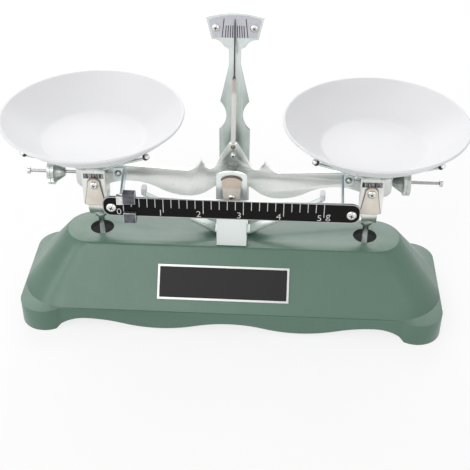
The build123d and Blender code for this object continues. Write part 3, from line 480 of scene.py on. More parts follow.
def cream_plastic(name, low, high):
    """Cream plastic, with painted shade: darker brown at its top end, which stands under the beam.
    """
    plastic = Finish(name, Roughness=0.42, Coat_Weight=0.15, Coat_Roughness=0.3)
    tone = plastic.noise(120, 4).ramp(0.3, 0.7).tint(low, high)
    # Painted shade: brown above 97.5 to 100 mm.
    top_shade = plastic.axis(2).ramp(0.0975, 0.1000) * 0.6
    plastic.set(Base_Color=top_shade.tint(tone, (0.50, 0.38, 0.28, 1)))
    plastic.relief(plastic.noise(1100, 2), 0.00003)
    return plastic.material


def cover_edge():
    """The brown rim of a cover, darkened further as painted shade at its edge."""
    plastic = Finish("cover_edge", Roughness=0.5)
    cloud = plastic.noise(200, 3)
    plastic.set(Base_Color=cloud.tint((0.10, 0.075, 0.05, 1), (0.20, 0.16, 0.12, 1)))
    return plastic.material


def cut_sheet(outline, face_y, thick):
    """A flat piece with an outline of (x, z) corners, its front at face_y, its thickness behind."""
    places = [Vector((x, face_y, z)) * MM for x, z in outline]
    rest()
    bpy.ops.mesh.primitive_plane_add(size=0.001)
    piece = bpy.context.object
    bpy.ops.object.mode_set(mode="EDIT")
    bpy.ops.mesh.merge(type="CENTER")
    bpy.ops.transform.translate(value=places[0])
    for start, end in zip(places, places[1:] + places[:1]):
        bpy.ops.mesh.extrude_vertices_move(TRANSFORM_OT_translate={"value": end - start})
    bpy.ops.mesh.select_all(action="SELECT")
    bpy.ops.mesh.remove_doubles(threshold=0.000003)
    bpy.ops.mesh.edge_face_add()
    bpy.ops.mesh.extrude_region_move(TRANSFORM_OT_translate={"value": (0, thick * MM, 0)})
    bpy.ops.mesh.select_all(action="SELECT")
    bpy.ops.mesh.normals_make_consistent(inside=False)
    bpy.ops.object.mode_set(mode="OBJECT")
    return piece


COVER_FACE = -19.2
COVER_FOOT = [(-4.6, 83.6), (-3.6, 82.6), (3.6, 82.6), (4.6, 83.6)]
ARC_MIDDLE = 96.75


def top_arc(radius, half_width, steps=12):
    """Corners along the cover's low top arc, from right to left."""
    across = [half_width * (1 - 2 * step / steps) for step in range(steps + 1)]
    return [(x, ARC_MIDDLE + (radius ** 2 - x ** 2) ** 0.5) for x in across]


brown_rim_and_shade = cover_edge()
column_cream = cream_plastic("column_cream", (0.72, 0.67, 0.59, 1), (0.82, 0.77, 0.69, 1))
cover = cut_sheet(top_arc(10.4, 6.5) + COVER_FOOT, COVER_FACE, 1.0)
modify(cover, "BEVEL", width=0.3 * MM, segments=2, limit_method="ANGLE",
       angle_limit=radians(40))
smooth(cover)
finished(cover, "column_arched_cover", "base", "cream_cover", column_cream)
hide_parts("column_cover")
# The lip: a thin dark brown strip along the arch, partly the rim and partly painted shade.
lip = cut_sheet(top_arc(10.95, 6.9) + top_arc(10.35, 6.7)[::-1], COVER_FACE - 0.15, 1.0)
smooth(lip)
finished(lip, "column_cover_lip", "base", "cream_cover", brown_rim_and_shade)


def spun(outline, centre, axis, steps):
    """A turned shape: an outline of (radius, place along the axis), spun full round."""
    along = Vector(axis)
    out = Vector((0, 0, 1)) if axis[0] else Vector((1, 0, 0))
    middle = Vector(centre) * MM
    places = [middle + (out * radius + along * place) * MM for radius, place in outline]
    rest()
    bpy.ops.mesh.primitive_plane_add(size=0.001)
    piece = bpy.context.object
    bpy.ops.object.mode_set(mode="EDIT")
    bpy.ops.mesh.merge(type="CENTER")
    bpy.ops.transform.translate(value=places[0])
    for start, end in zip(places, places[1:]):
        bpy.ops.mesh.extrude_vertices_move(TRANSFORM_OT_translate={"value": end - start})
    bpy.ops.mesh.select_all(action="SELECT")
    bpy.ops.mesh.spin(steps=steps, angle=2 * pi, center=middle, axis=axis)
    bpy.ops.mesh.select_all(action="SELECT")
    bpy.ops.mesh.remove_doubles(threshold=0.000003)
    bpy.ops.mesh.normals_make_consistent(inside=False)
    bpy.ops.object.mode_set(mode="OBJECT")
    return piece


def bar_cutter(place, size, turn):
    """A small tapered block that cuts one arm of a cross recess."""
    rest()
    bpy.ops.mesh.primitive_cube_add(size=1.0)
    cutter = bpy.context.object
    pick(cutter, lambda face: face.normal.y > 0.5)
    bpy.ops.transform.resize(value=(0.45, 1, 0.45))
    bpy.ops.object.mode_set(mode="OBJECT")
    move = Matrix.Translation(Vector(place) * MM) @ Matrix.Rotation(turn, 4, "Y")
    cutter.data.transform(move @ Matrix.Diagonal((*(Vector(size) * MM), 1)))
    return cutter


def cut_out(piece, cutter):
    """Cut the cutter's shape out of a piece."""
    modify(piece, "BOOLEAN", object=cutter, operation="DIFFERENCE", solver="EXACT")
    bpy.data.objects.remove(cutter)


def cross_screw(x, seat, z, radius, height, length, turn):
    """A pan-head screw along Y with a cross recess, its head in front of the seat."""
    r, h = radius, height
    screw = spun([(0, -h), (0.35 * r, -0.98 * h), (0.62 * r, -0.90 * h), (0.84 * r, -0.70 * h),
                  (0.96 * r, -0.42 * h), (r, -0.15 * h), (r, 0), (1.3, 0), (1.3, length - 0.4),
                  (1.0, length), (0, length)], (x, seat, z), (0, 1, 0), 48)
    for arm in (0, pi / 2):
        cut_out(screw, bar_cutter((x, seat - h, z), (1.15 * r, 1.3 * h, 0.26 * r), turn + arm))
    smooth(screw)

    def in_recess(face):
        away = Vector((face.center.x - x * MM, face.center.z - z * MM)).length
        return away < 0.62 * r * MM and face.center.y > (seat - 0.86 * h) * MM

    # Painted shade: the faces of the recess take the near-black finish.
    repaint(screw, 1, in_recess)
    return screw


cover_screw = cross_screw(0, COVER_FACE, 91.5, radius=2.95, height=1.8, length=2.7, turn=0.35)
finished(cover_screw, "column_cover_cross_screw", "base", "screw_steel", screw_steel, recess_shade)
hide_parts("column_cover_screw")

# Dial: a plate of silver-lilac sheet on the column's head, printed with eleven lines that fan
# out, long at both ends and in the middle. Two cross-recess screws hold it.


def dial_silver():
    """Silver paint with a trace of lilac, brushed upright."""
    metal = Finish("dial_silver", Metallic=0.55)
    brush = metal.noise(50, 3, (40, 1, 1))
    metal.set(Base_Color=brush.tint((0.50, 0.50, 0.55, 1), (0.61, 0.61, 0.66, 1)))
    metal.set(Roughness=0.36 + brush * 0.12)
    return metal.material


def ink(name, colour):
    """Print that is a little thin in places."""
    print_ink = Finish(name, Roughness=0.55)
    worn = print_ink.noise(900, 3).ramp(0.45, 0.75)
    lighter = tuple(0.75 * part + 0.08 for part in colour[:3]) + (1,)
    print_ink.set(Base_Color=worn.tint(colour, lighter))
    return print_ink.material


def lines(strokes, face_y, thick=0.06):
    """Printed lines on a face that looks towards -Y: (foot x, head x, low, high, width) each."""
    rest()
    bpy.ops.mesh.primitive_plane_add(size=1.0)
    sheet = bpy.context.object
    bpy.ops.object.mode_set(mode="EDIT")
    bpy.ops.mesh.delete(type="VERT")
    for foot, head, low, high, width in strokes:
        middle = Vector(((foot + head) / 2, face_y, (low + high) / 2)) * MM
        bpy.ops.mesh.primitive_plane_add(size=MM, location=middle, rotation=(pi / 2, 0, 0))
        length = Vector((head - foot, high - low)).length
        bpy.ops.transform.resize(value=(width, 1, length), center_override=middle)
        lean = Vector((0, 1)).angle_signed(Vector((head - foot, high - low)))
        bpy.ops.transform.rotate(value=lean, orient_axis="Y", center_override=middle)
    bpy.ops.mesh.select_all(action="SELECT")
    bpy.ops.mesh.extrude_region_move(TRANSFORM_OT_translate={"value": (0, -thick * MM, 0)})
    bpy.ops.mesh.select_all(action="SELECT")
    bpy.ops.mesh.normals_make_consistent(inside=False)
    bpy.ops.object.mode_set(mode="OBJECT")
    return sheet


coat(dial_silver(), "dial_plate")
DIAL_FACE = 15.4
LINE_FOOT, SHORT_HEAD, LONG_HEAD = 187.2, 195.2, 199.7
LINE_STEP, LINE_WIDTH = 1.34, 0.55
FAN = 0.0145                             # how much the lines part for each millimetre of height
dial_strokes = []
for step in range(-5, 6):
    high = LONG_HEAD if step in (-5, 0, 5) else SHORT_HEAD
    foot = LINE_STEP * step
    head = foot * (1 + FAN * (high - LINE_FOOT))
    dial_strokes.append((foot, head, LINE_FOOT, high, LINE_WIDTH))
finished(lines(dial_strokes, DIAL_FACE), "dial_lines", "base", "black_print",
         ink("dial_ink", (0.035, 0.035, 0.045, 1)))
for hand, x, turn in (("left", -11.8, 0.2), ("right", 11.8, 0.9)):
    dial_screw = cross_screw(x, DIAL_FACE, 193.8, radius=2.6, height=1.8, length=2.1, turn=turn)
    finished(dial_screw, hand + "_dial_screw", "base", "screw_steel", screw_steel, recess_shade)
    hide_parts("dial_screws")

# Bearings under the centre knife, and all the knives: hardened steel, ground and left dark.
# The centre knife rocks on its bearings, and the end knives carry the carriers.


def ground_steel(name, low, high, grain):
    """Hardened steel with close grinding marks in one direction."""
    metal = Finish(name, Metallic=1.0)
    marks = metal.noise(220, 2, grain)
    metal.set(Base_Color=marks.ramp(0.42, 0.58).tint(low, high), Roughness=0.32 + marks * 0.2)
    metal.relief(marks, 0.00008)
    return metal.material


knife_steel = ground_steel("knife_steel", (0.16, 0.16, 0.17, 1), (0.42, 0.42, 0.43, 1), (1, 8, 1))
coat(knife_steel, "front_bearing", "rear_bearing", "centre_knife")
coat(knife_steel, "left_end_knife", "right_end_knife")

# Beam: pressed from sheet with a rim turned back along its edge, then zinc-plated. Painted shade
# darkens it towards its peak, where a small slot is pierced, and a crosswise hatch on its ends,
# for the zinc's spangle, is darkened as painted shade.

PEAK_Z = 113.0
HATCH_STEP = 0.65
HATCH_FROM = 77.5                       # from the middle outwards


def beam_zinc():
    """Light zinc, with painted shade round the peak and in a lozenge hatch on both ends."""
    metal = Finish("beam_zinc", Metallic=1.0)
    cloud = metal.noise(45, 5)
    marks = metal.noise(60, 3, (1, 14, 14))
    mixed = (cloud * 0.6 + marks * 0.4).ramp(0.35, 0.65)
    bright = mixed.tint((0.86, 0.88, 0.85, 1), (0.95, 0.96, 0.93, 1))
    x, z = metal.axis(0), metal.axis(2)
    above = z - PEAK_Z * MM
    from_peak = x * x + above * above
    # Painted shade: the zinc turns darker towards the peak.
    peak_shade = from_peak.maths("SQRT").ramp(0.013, 0.004)
    tone = (peak_shade * 0.8).tint(bright, (0.42, 0.46, 0.44, 1))
    speck = metal.noise(700, 2).ramp(0.64, 0.72) * 0.3
    tone = speck.tint(tone, (0.45, 0.45, 0.44, 1))
    # A crosswise hatch on both ends for the zinc's spangle, darkened as painted shade.
    slant = (x + z).maths("PINGPONG", HATCH_STEP * MM).ramp(0.00018, 0.00006)
    counter = (x - z).maths("PINGPONG", HATCH_STEP * MM).ramp(0.00018, 0.00006)
    ends = x.maths("ABSOLUTE").ramp((HATCH_FROM - 1) * MM, (HATCH_FROM + 1) * MM)
    hatch = slant.either(counter) * ends
    metal.set(Base_Color=(hatch * 0.55).tint(tone, (0.20, 0.21, 0.20, 1)))
    metal.set(Roughness=0.26 + marks * 0.16 + cloud * 0.06)
    metal.relief(marks * 0.4 - hatch, 0.00006)
    return metal.material


# Painted shade: the beam's rounded edges take dark zinc, for the shade lines along its rim.
beam_edge_shade = zinc("beam_edge_shade", (0.08, 0.085, 0.08, 1), (0.20, 0.21, 0.20, 1), (1, 1, 1), 0.34)
beam = softened("beam", "beam", 0.55, beam_zinc(), beam_edge_shade)
SLOT_PLACE, SLOT_SIZE = (0, 0, 105.6), (1.9, 6.0, 3.4)
cut_out(beam, bar_cutter(SLOT_PLACE, SLOT_SIZE, 0))
smooth(beam)

# Pointer: a thin strip behind the beam's peak that leans back to the dial, enamelled white below
# and blackened along its needle. A plated screw holds it, under a brown rivet and a wire clip.

STAIN_Z, NEEDLE_Z = 154.0, 163.5         # where the pink stain and the black needle begin


def pointer_finish():
    """White enamel up to the needle, a pink stain at the step, then black."""
    paint = Finish("pointer_finish", Roughness=0.4)
    z = paint.axis(2)
    worn = paint.noise(500, 3)
    white = worn.tint((0.62, 0.60, 0.58, 1), (0.76, 0.74, 0.72, 1))
    stain = z.ramp((STAIN_Z - 2) * MM, (STAIN_Z + 2) * MM) * 0.7
    stained = stain.tint(white, (0.42, 0.30, 0.29, 1))
    needle = (z + worn * 0.002).ramp((NEEDLE_Z - 1) * MM, (NEEDLE_Z + 1) * MM)
    paint.set(Base_Color=needle.tint(stained, (0.05, 0.05, 0.055, 1)))
    return paint.material


softened("pointer", "beam", 0.12, pointer_finish())
brown = plated_steel("brown_rivet", (0.20, 0.15, 0.10, 1), (0.36, 0.28, 0.20, 1), 0.3)
BEAM_FACE = -1.8
pointer_screw = cross_screw(0, BEAM_FACE, PEAK_Z, radius=1.85, height=1.5, length=2.2, turn=0.6)
finished(pointer_screw, "pointer_cross_screw", "beam", "screw_steel", screw_steel, recess_shade)
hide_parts("pointer_screw")
peak_rivet = spun([(0, -1.0), (0.8, -0.9), (1.3, -0.6), (1.6, -0.1), (1.6, 0), (0.9, 0.02),
                   (0.9, 0.6), (0, 0.6)], (0, BEAM_FACE, 119.3), (0, 1, 0), 24)
smooth(peak_rivet, 50)
finished(peak_rivet, "peak_rivet", "beam", "screw_steel", brown)


def bent_wire(points, radius, steps=8):
    """Round wire along a path, with closed ends."""
    rest()
    bpy.ops.mesh.primitive_circle_add(vertices=steps, radius=radius * MM, fill_type="NGON")
    wire = bpy.context.object
    places = [Vector(point) * MM for point in points]
    aim = (places[1] - places[0]).to_track_quat("Z", "Y").to_matrix().to_4x4()
    wire.data.transform(Matrix.Translation(places[0]) @ aim)
    bpy.ops.object.mode_set(mode="EDIT")
    bpy.ops.mesh.select_all(action="SELECT")
    for start, end in zip(places, places[1:]):
        bpy.ops.mesh.extrude_region_move(TRANSFORM_OT_translate={"value": end - start})
    bpy.ops.mesh.select_all(action="SELECT")
    bpy.ops.mesh.normals_make_consistent(inside=False)
    bpy.ops.object.mode_set(mode="OBJECT")
    smooth(wire, 50)
    return wire


black_wire = ink("black_wire", (0.015, 0.015, 0.017, 1))
clip_path = [(2.2, -0.7, 117.0), (3.0, -1.2, 116.4), (3.6, -1.4, 115.2), (5.2, -1.4, 112.4)]
finished(bent_wire(clip_path, 0.45), "peak_clip", "beam", "black_print", black_wire)

# Scale bar: a flat bar of nickelled steel hung in front of the beam. Its face is lacquered black
# inside a bright margin, with pale ticks and numbers that lie thin on the lacquer.

nickel = zinc("nickel_bar", (0.38, 0.38, 0.39, 1), (0.54, 0.54, 0.55, 1), (1, 20, 20), 0.2)
softened("scale_bar", "beam", 0.25, nickel)
BAR_FACE = -28.0
BAR_LOW, BAR_HIGH = 80.8, 95.3
BAR_MIDDLE = (BAR_LOW + BAR_HIGH) / 2
BAR_LENGTH, BAR_END_ROUND = 165.2, 5.5
MARGIN = 0.55
LACQUER = 0.02
rest()
bpy.ops.mesh.primitive_plane_add(size=1.0, rotation=(pi / 2, 0, 0))
face_panel = bpy.context.object
take(face_panel)
bpy.ops.object.transform_apply(location=True, rotation=True, scale=True)
bpy.ops.object.mode_set(mode="EDIT")
bpy.ops.mesh.select_all(action="SELECT")
face_size = ((BAR_LENGTH - 2 * MARGIN) * MM, 1, (BAR_HIGH - BAR_LOW - 2 * MARGIN) * MM)
bpy.ops.transform.resize(value=face_size)
bpy.ops.mesh.bevel(offset=(BAR_END_ROUND - MARGIN) * MM, segments=8, affect="VERTICES")
bpy.ops.mesh.extrude_region_move(TRANSFORM_OT_translate={"value": (0, -LACQUER * MM, 0)})
bpy.ops.mesh.select_all(action="SELECT")
bpy.ops.transform.translate(value=(0, BAR_FACE * MM, BAR_MIDDLE * MM))
bpy.ops.mesh.normals_make_consistent(inside=False)
bpy.ops.object.mode_set(mode="OBJECT")
finished(face_panel, "bar_black_face", "beam", "black_print",
         satin_black("bar_lacquer", (0.006, 0.006, 0.006, 1), (0.022, 0.020, 0.020, 1),
                     gloss=0.1, smooth_at=0.56))

ZERO_X, GRAM = -69.2, 25.76              # where 0 is, and how far it is from there to 1
TICK_TOP = BAR_HIGH - MARGIN
LONG_TICK, SHORT_TICK, TICK_WIDTH = 10.2, 6.6, 0.46
tick_strokes = []
for fifth in range(26):
    x = ZERO_X + GRAM * fifth / 5
    low = TICK_TOP - (LONG_TICK if fifth % 5 == 0 else SHORT_TICK)
    tick_strokes.append((x, x, low, TICK_TOP, TICK_WIDTH))
engraved = ink("engraved_white", (0.62, 0.62, 0.62, 1))
PRINT_Y = BAR_FACE - 0.018               # just within the lacquer
PRINT_THICK = 0.017
finished(lines(tick_strokes, PRINT_Y, PRINT_THICK), "bar_ticks", "beam", "black_print", engraved)

FONT_PER_HEIGHT = 1.42
SIGN_HALF, SIGN_MIDDLE = 0.008, PRINT_Y - 0.009


def digit(sign, right_x, low, height):
    """One thin sign, its right side and foot at the given place."""
    rest()
    bpy.ops.object.text_add()
    letter = bpy.context.object
    letter.data.body = sign
    letter.data.size = height * MM * FONT_PER_HEIGHT
    letter.data.extrude = SIGN_HALF * MM
    letter.data.offset = -0.00004
    bpy.ops.object.convert(target="MESH")
    letter = bpy.context.object
    letter.data.transform(Matrix.Rotation(pi / 2, 4, "X"))
    edge = max(vertex.co.x for vertex in letter.data.vertices)
    place = (right_x * MM - edge, SIGN_MIDDLE * MM, low * MM)
    letter.data.transform(Matrix.Translation(place))
    return letter


for gram in range(6):
    number = digit(str(gram), ZERO_X + GRAM * gram - 1.6, BAR_LOW + 1.15, 4.7)
    finished(number, f"bar_number_{gram}", "beam", "black_print", engraved)
unit = digit("g", ZERO_X + GRAM * 5 + 4.2, BAR_LOW + 3.0, 5.2)
finished(unit, "bar_unit", "beam", "black_print", engraved)

for hand, x, turn in (("left", -77.0, 0.5), ("right", 77.0, 0.15)):
    bar_screw = cross_screw(x, BAR_FACE, 87.25, radius=3.4, height=1.8, length=2.7, turn=turn)
    finished(bar_screw, hand + "_bar_screw", "beam", "screw_steel", screw_steel, recess_shade)
    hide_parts("scale_bar_screws")

# Hangers: two bent tabs of bright zinc sheet that carry the bar. Each is riveted to the beam's
# end, with a ring of darker steel round the rivet's head.

hanger_zinc = zinc("hanger_zinc", (0.62, 0.70, 0.71, 1), (0.80, 0.87, 0.88, 1), (1, 1, 14), 0.2)
for hand, side in (("left", -1), ("right", 1)):
    softened(hand + "_hanger", "beam", 0.2, hanger_zinc, painted_edge_shade)
    rivet_place = (side * 75.6, -3.0, 97.2)
    rivet = spun([(0, -1.3), (0.6, -1.25), (1.15, -1.0), (1.55, -0.6), (1.75, -0.2), (1.8, 0),
                  (1.3, 0), (1.3, 2.3), (0, 2.3)], rivet_place, (0, 1, 0), 32)
    smooth(rivet, 40)
    finished(rivet, hand + "_rivet_head", "beam", "screw_steel", screw_steel)
    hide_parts("hanger_rivets")
    rivet_ring = spun([(1.85, -0.05), (1.95, -0.22), (2.3, -0.22), (2.4, -0.05), (1.85, -0.05)],
                      rivet_place, (0, 1, 0), 32)
    smooth(rivet_ring, 40)
    finished(rivet_ring, hand + "_rivet_ring", "beam", "screw_steel", dull_steel)

# Zero stop: a clip of bright spring sheet, folded over the bar's top edge beside the zero. It
# holds by its own grip.

softened("zero_stop", "beam", 0.2,
         plated_steel("clip_steel", (0.66, 0.66, 0.66, 1), (0.86, 0.86, 0.86, 1), 0.1))

# Rider: a block of blackened brass that hooks over the bar and slides along it, with a window
# for the numbers. Its edges are lighter than its faces.


def blackened(name, low, high):
    """Brass with a thin dark skin, cloudy where it has been handled."""
    metal = Finish(name, Metallic=0.6)
    cloud = metal.noise(260, 4)
    metal.set(Base_Color=cloud.ramp(0.3, 0.7).tint(low, high), Roughness=0.34 + cloud * 0.2)
    metal.relief(metal.noise(1200, 2), 0.00004)
    return metal.material


# The rounded edges take a lighter grey than the faces.
softened("rider", "rider", 0.32,
         blackened("rider_face", (0.075, 0.078, 0.09, 1), (0.15, 0.155, 0.175, 1)),
         blackened("rider_light_edge", (0.40, 0.40, 0.42, 1), (0.60, 0.60, 0.62, 1)))

# Balance rods: threaded steel rods screwed into the beam's ends, each with a turned end collar
# that keeps its nut on.

ROD_Z = 95.5


def rod_steel():
    """Steel that has dulled in its thread."""
    metal = Finish("rod_steel", Metallic=1.0)
    cloud = metal.noise(220, 3)
    metal.set(Base_Color=cloud.tint((0.34, 0.32, 0.33, 1), (0.52, 0.49, 0.50, 1)))
    metal.set(Roughness=0.22 + cloud * 0.15)
    return metal.material


def threaded_rod(side):
    """A true screw thread round the X axis: a zigzag edge screwed on by one pitch."""
    pitch, radius, depth = 0.5, 1.2, 0.22
    start, end = 101.0, 134.6
    count = int((end - start) / pitch)
    rest()
    bpy.ops.mesh.primitive_plane_add(size=0.001)
    rod = bpy.context.object
    bpy.ops.object.mode_set(mode="EDIT")
    bpy.ops.mesh.merge(type="CENTER")
    bpy.ops.transform.translate(value=(start * MM, 0, (radius - depth) * MM))
    for _ in range(count):
        for rise in (depth, -depth):
            step = (pitch / 2 * MM, 0, rise * MM)
            bpy.ops.mesh.extrude_vertices_move(TRANSFORM_OT_translate={"value": step})
    bpy.ops.object.mode_set(mode="OBJECT")
    modify(rod, "SCREW", axis="X", screw_offset=pitch * MM, steps=16, render_steps=16,
           use_merge_vertices=True, merge_threshold=0.000002)
    rod.data.transform(Matrix.Translation((0, 0, ROD_Z * MM)))
    take(rod)
    bpy.ops.object.mode_set(mode="EDIT")
    bpy.ops.mesh.select_all(action="SELECT")
    bpy.ops.mesh.remove_doubles(threshold=0.000002)
    bpy.ops.mesh.fill_holes(sides=0)
    bpy.ops.mesh.normals_make_consistent(inside=False)
    bpy.ops.object.mode_set(mode="OBJECT")
    if side < 0:
        rod.data.transform(Matrix.Rotation(pi, 4, "Z"))
    return rod


rod_metal = rod_steel()
for hand, side in (("left", -1), ("right", 1)):
    rod = threaded_rod(side)
    finished(rod, hand + "_threaded_rod", "beam", "bright_steel", rod_metal)
    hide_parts(hand + "_balance_rod")
    collar_outline = [(0, 134.65), (2.1, 134.65), (2.5, 134.95), (2.5, 135.5), (2.25, 135.7),
                      (2.5, 135.9), (2.5, 136.5), (2.2, 136.9), (1.5, 137.1), (0, 137.1)]
    collar = spun([(radius, side * place) for radius, place in collar_outline], (0, 0, ROD_Z),
                  (1, 0, 0), 32)
    smooth(collar)
    finished(collar, hand + "_rod_collar", "beam", "bright_steel", screw_steel)
    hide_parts(hand + "_balance_rod")

# Balance nuts: turned and nickelled, with a straight-knurled rim outboard and a long cone inboard.
# They run on the rods with finger force.


def nut_nickel():
    """Worn nickel, with turning marks round the axis."""
    metal = Finish("nut_nickel", Metallic=1.0)
    cloud = metal.noise(120, 4)
    marks = metal.noise(90, 2, (20, 1, 1))
    mixed = (cloud * 0.5 + marks * 0.5).ramp(0.3, 0.7)
    metal.set(Base_Color=mixed.tint((0.48, 0.52, 0.50, 1), (0.72, 0.75, 0.73, 1)))
    metal.set(Roughness=0.24 + marks * 0.14)
    return metal.material


nut_metal = nut_nickel()
KNURLS = 44
RIM_FROM = 8.6                           # corners farther out than this are the rim's
NUT_LENGTH, RIM_WIDTH = 11.1, 4.6


def in_groove(corner):
    """Two of each four rows of corners round the rim are pressed in."""
    away = Vector((corner.co.y, corner.co.z - ROD_Z * MM))
    turn = round(away.angle_signed(Vector((0, 1)), 0) / (2 * pi) * 4 * KNURLS)
    return away.length > RIM_FROM * MM and turn % 4 in (0, 1)


for hand, side, nose in (("left", -1, 111.2), ("right", 1, 104.3)):
    end = nose + NUT_LENGTH
    band = end - RIM_WIDTH
    outline = [(1.3, nose), (2.8, nose), (3.2, nose + 0.4), (3.7, nose + 1.0), (5.4, nose + 3.4),
               (6.9, band - 0.8), (7.9, band), (8.5, band), (8.9, band + 0.35), (8.9, band + 2.05),
               (8.45, band + 2.3), (8.9, band + 2.55), (8.9, end - 0.4), (8.4, end), (7.2, end),
               (6.8, end - 0.4), (3.2, end - 0.4), (2.8, end), (1.3, end), (1.3, nose)]
    nut = spun([(radius, side * place) for radius, place in outline], (0, 0, ROD_Z), (1, 0, 0),
               4 * KNURLS)
    pick(nut, in_groove, "VERT")
    middle = (end * side * MM, 0, ROD_Z * MM)
    bpy.ops.transform.resize(value=(1, 0.955, 0.955), center_override=middle)
    bpy.ops.object.mode_set(mode="OBJECT")
    smooth(nut, 25)
    finished(nut, hand + "_knurled_nut", hand + "_nut", "bright_steel", nut_metal)
    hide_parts(hand + "_balance_nut")

# Pan carriers: a strap of light plated sheet bent to a U, with two cheeks that hold a hard bearing
# bar over the end knife. The stem is riveted through its round bottom.

ARM = 90.0                               # from the middle to each end knife
COVER_LOW = 81.0                         # below this the covers widen


def wider_foot(piece):
    """The cover's lower end is a little wider."""
    side = 1 if piece.data.vertices[0].co.x > 0 else -1
    pick(piece, lambda corner: corner.co.z < COVER_LOW * MM, "VERT")
    bpy.ops.transform.resize(value=(1.13, 1, 1), center_override=(side * ARM * MM, 0, 0.080))
    bpy.ops.object.mode_set(mode="OBJECT")


yoke_cream = cream_plastic("yoke_cream", (0.74, 0.67, 0.58, 1), (0.82, 0.76, 0.68, 1))
yoke_zinc = zinc("yoke_zinc", (0.66, 0.67, 0.64, 1), (0.84, 0.85, 0.82, 1), (14, 14, 1), 0.2)
stem_steel = plated_steel("stem_steel", (0.26, 0.29, 0.27, 1), (0.46, 0.50, 0.48, 1), 0.2)
# Partly painted shade: the bearing bars are darker than the knives, for the shade of the slot that
# they lie in.
band_steel_and_shade = ground_steel("bearing_steel", (0.05, 0.05, 0.055, 1), (0.34, 0.34, 0.35, 1),
                          (7, 1, 0.6))
for hand, side in (("left", -1), ("right", 1)):
    carrier = hand + "_carrier"
    softened(hand + "_yoke", carrier, 0.35, yoke_zinc, painted_edge_shade)
    coat(band_steel_and_shade, hand + "_bearing")
    softened(hand + "_stem", carrier, 0.3, stem_steel)
    softened(hand + "_yoke_cover", carrier, 0.35, yoke_cream, brown_rim_and_shade,
             shape=wider_foot)
    yoke_screw = cross_screw(side * ARM, -15.4, 95.4, radius=2.95, height=1.8, length=2.8,
                             turn=0.2 + side * 0.4)
    finished(yoke_screw, hand + "_yoke_cross_screw", carrier, "screw_steel", screw_steel,
             recess_shade)
    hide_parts(hand + "_yoke_screw")

# Pan arms: a cross of thin plated sheet on each yoke. Its four arms slope up under the pan, and
# each ends in a small bright cap with a black collar.

arm_zinc = zinc("arm_zinc", (0.50, 0.58, 0.55, 1), (0.68, 0.75, 0.72, 1), (6, 6, 6), 0.24)
cap_metal = plated_steel("cap_metal", (0.70, 0.70, 0.70, 1), (0.88, 0.88, 0.88, 1), 0.2)
ARM_TURNS = (40, 140, 220, 320)
CAP_REACH, CAP_Z, CAP_LEAN = 49.0, 128.2, 35
COLLAR = [(0, -0.6), (1.9, -0.6), (2.1, -0.3), (2.1, 0.6), (1.9, 0.9), (0, 0.9)]
BEAD = [(0, 0.8), (1.2, 0.9), (1.75, 1.6), (1.75, 2.3), (1.2, 3.0), (0.7, 3.2), (0.7, 3.7),
        (0, 3.8)]
for hand, side in (("left", -1), ("right", 1)):
    softened(hand + "_pan_support", hand + "_carrier", 0.2, arm_zinc, painted_edge_shade)
    for number, turn in enumerate(ARM_TURNS):
        stand = Matrix.Translation((side * ARM * MM, 0, CAP_Z * MM))
        stand = stand @ Matrix.Rotation(radians(turn), 4, "Z")
        lean = Matrix.Translation((CAP_REACH * MM, 0, 0))
        lean = lean @ Matrix.Rotation(radians(-CAP_LEAN), 4, "Y")
        for outline, kind, material in ((COLLAR, "collar", black_wire), (BEAD, "bead", cap_metal)):
            cap = spun(outline, (0, 0, 0), (1, 0, 0), 24)
            cap.data.transform(stand @ lean)
            smooth(cap, 40)
            finished(cap, f"{hand}_cap_{kind}_{number}", hand + "_carrier", "screw_steel", material)

# Pans: two round bowls of smooth white plastic. Each has a flat floor and a beaded rim, rests on
# its arms and lifts off.


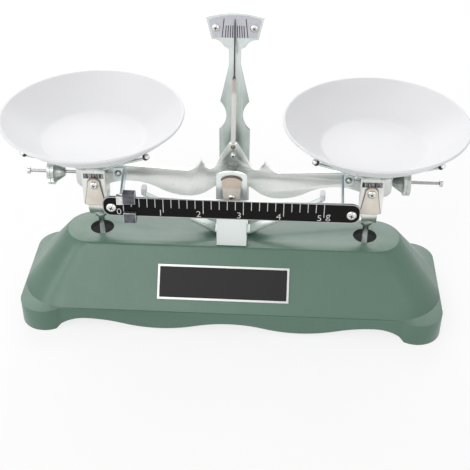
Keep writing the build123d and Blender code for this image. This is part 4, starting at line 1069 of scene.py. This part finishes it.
def white_plastic():
    """White plastic, very slightly wavy."""
    plastic = Finish("white_plastic", Roughness=0.42, Specular_IOR_Level=0.2, Coat_Weight=0.04,
                     Coat_Roughness=0.12)
    cloud = plastic.noise(30, 3)
    plastic.set(Base_Color=cloud.tint((0.79, 0.79, 0.81, 1), (0.84, 0.84, 0.86, 1)))
    plastic.relief(plastic.noise(24, 2), 0.00012)
    return plastic.material


pan_plastic = white_plastic()
PAN_OUTLINE = [(0, 120.5), (29, 120.5), (33.8, 120.5), (35.2, 120.8), (36.0, 121.5),
               (41.95, 125.15), (47.6, 129.2), (52.95, 133.65), (57.9, 138.4), (58.85, 139.1),
               (59.0, 139.85), (58.7, 140.5), (57.9, 140.7), (57.1, 140.35), (56.75, 139.75),
               (51.85, 135.05), (46.5, 130.6), (40.85, 126.55), (34.9, 122.95), (33.4, 122.4),
               (31.5, 122.3), (0, 122.3)]
for hand, side in (("left", -1), ("right", 1)):
    pan = spun(PAN_OUTLINE, (side * ARM, 0, 0), (0, 0, 1), 96)
    modify(pan, "SUBSURF", levels=1, render_levels=1)
    smooth(pan, 60)
    finished(pan, hand + "_pan_bowl", hand + "_pan", "pan_plastic", pan_plastic)
    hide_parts(hand + "_pan")

# Beam stop: a strap of zinc sheet under the column's foot with two arms that rise below the beam,
# each upturned end in a pale soft sleeve.


def pale_rubber():
    """Soft pale sleeves, a little dusty."""
    rubber = Finish("pale_sleeve", Roughness=0.5, Coat_Weight=0.1)
    rubber.set(Base_Color=rubber.noise(300, 3).tint((0.66, 0.66, 0.70, 1), (0.78, 0.78, 0.81, 1)))
    rubber.relief(rubber.noise(1500, 2), 0.00003)
    return rubber.material


# The stop takes the upright zinc, with its painted light and shade.
softened("beam_stop", "base", 0.2, zinc_upright_painted_light, painted_edge_shade)
softened("stop_sleeves", "base", 0.25, pale_rubber())

# Parallel motion inside the base: a flat stay on a bracket and pin, and the two pins that join it
# to the stems. Plain dull-plated steel.

softened("lower_stay", "lower_stay", 0.2, dull_steel)
for pin in ("left_stay_pin", "right_stay_pin"):
    softened(pin, "lower_stay", 0.15, screw_steel)
softened("stay_centre_pin", "base", 0.15, screw_steel)
softened("stay_bracket", "base", 0.2, dull_steel)

bpy.context.view_layer.update()
low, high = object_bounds()
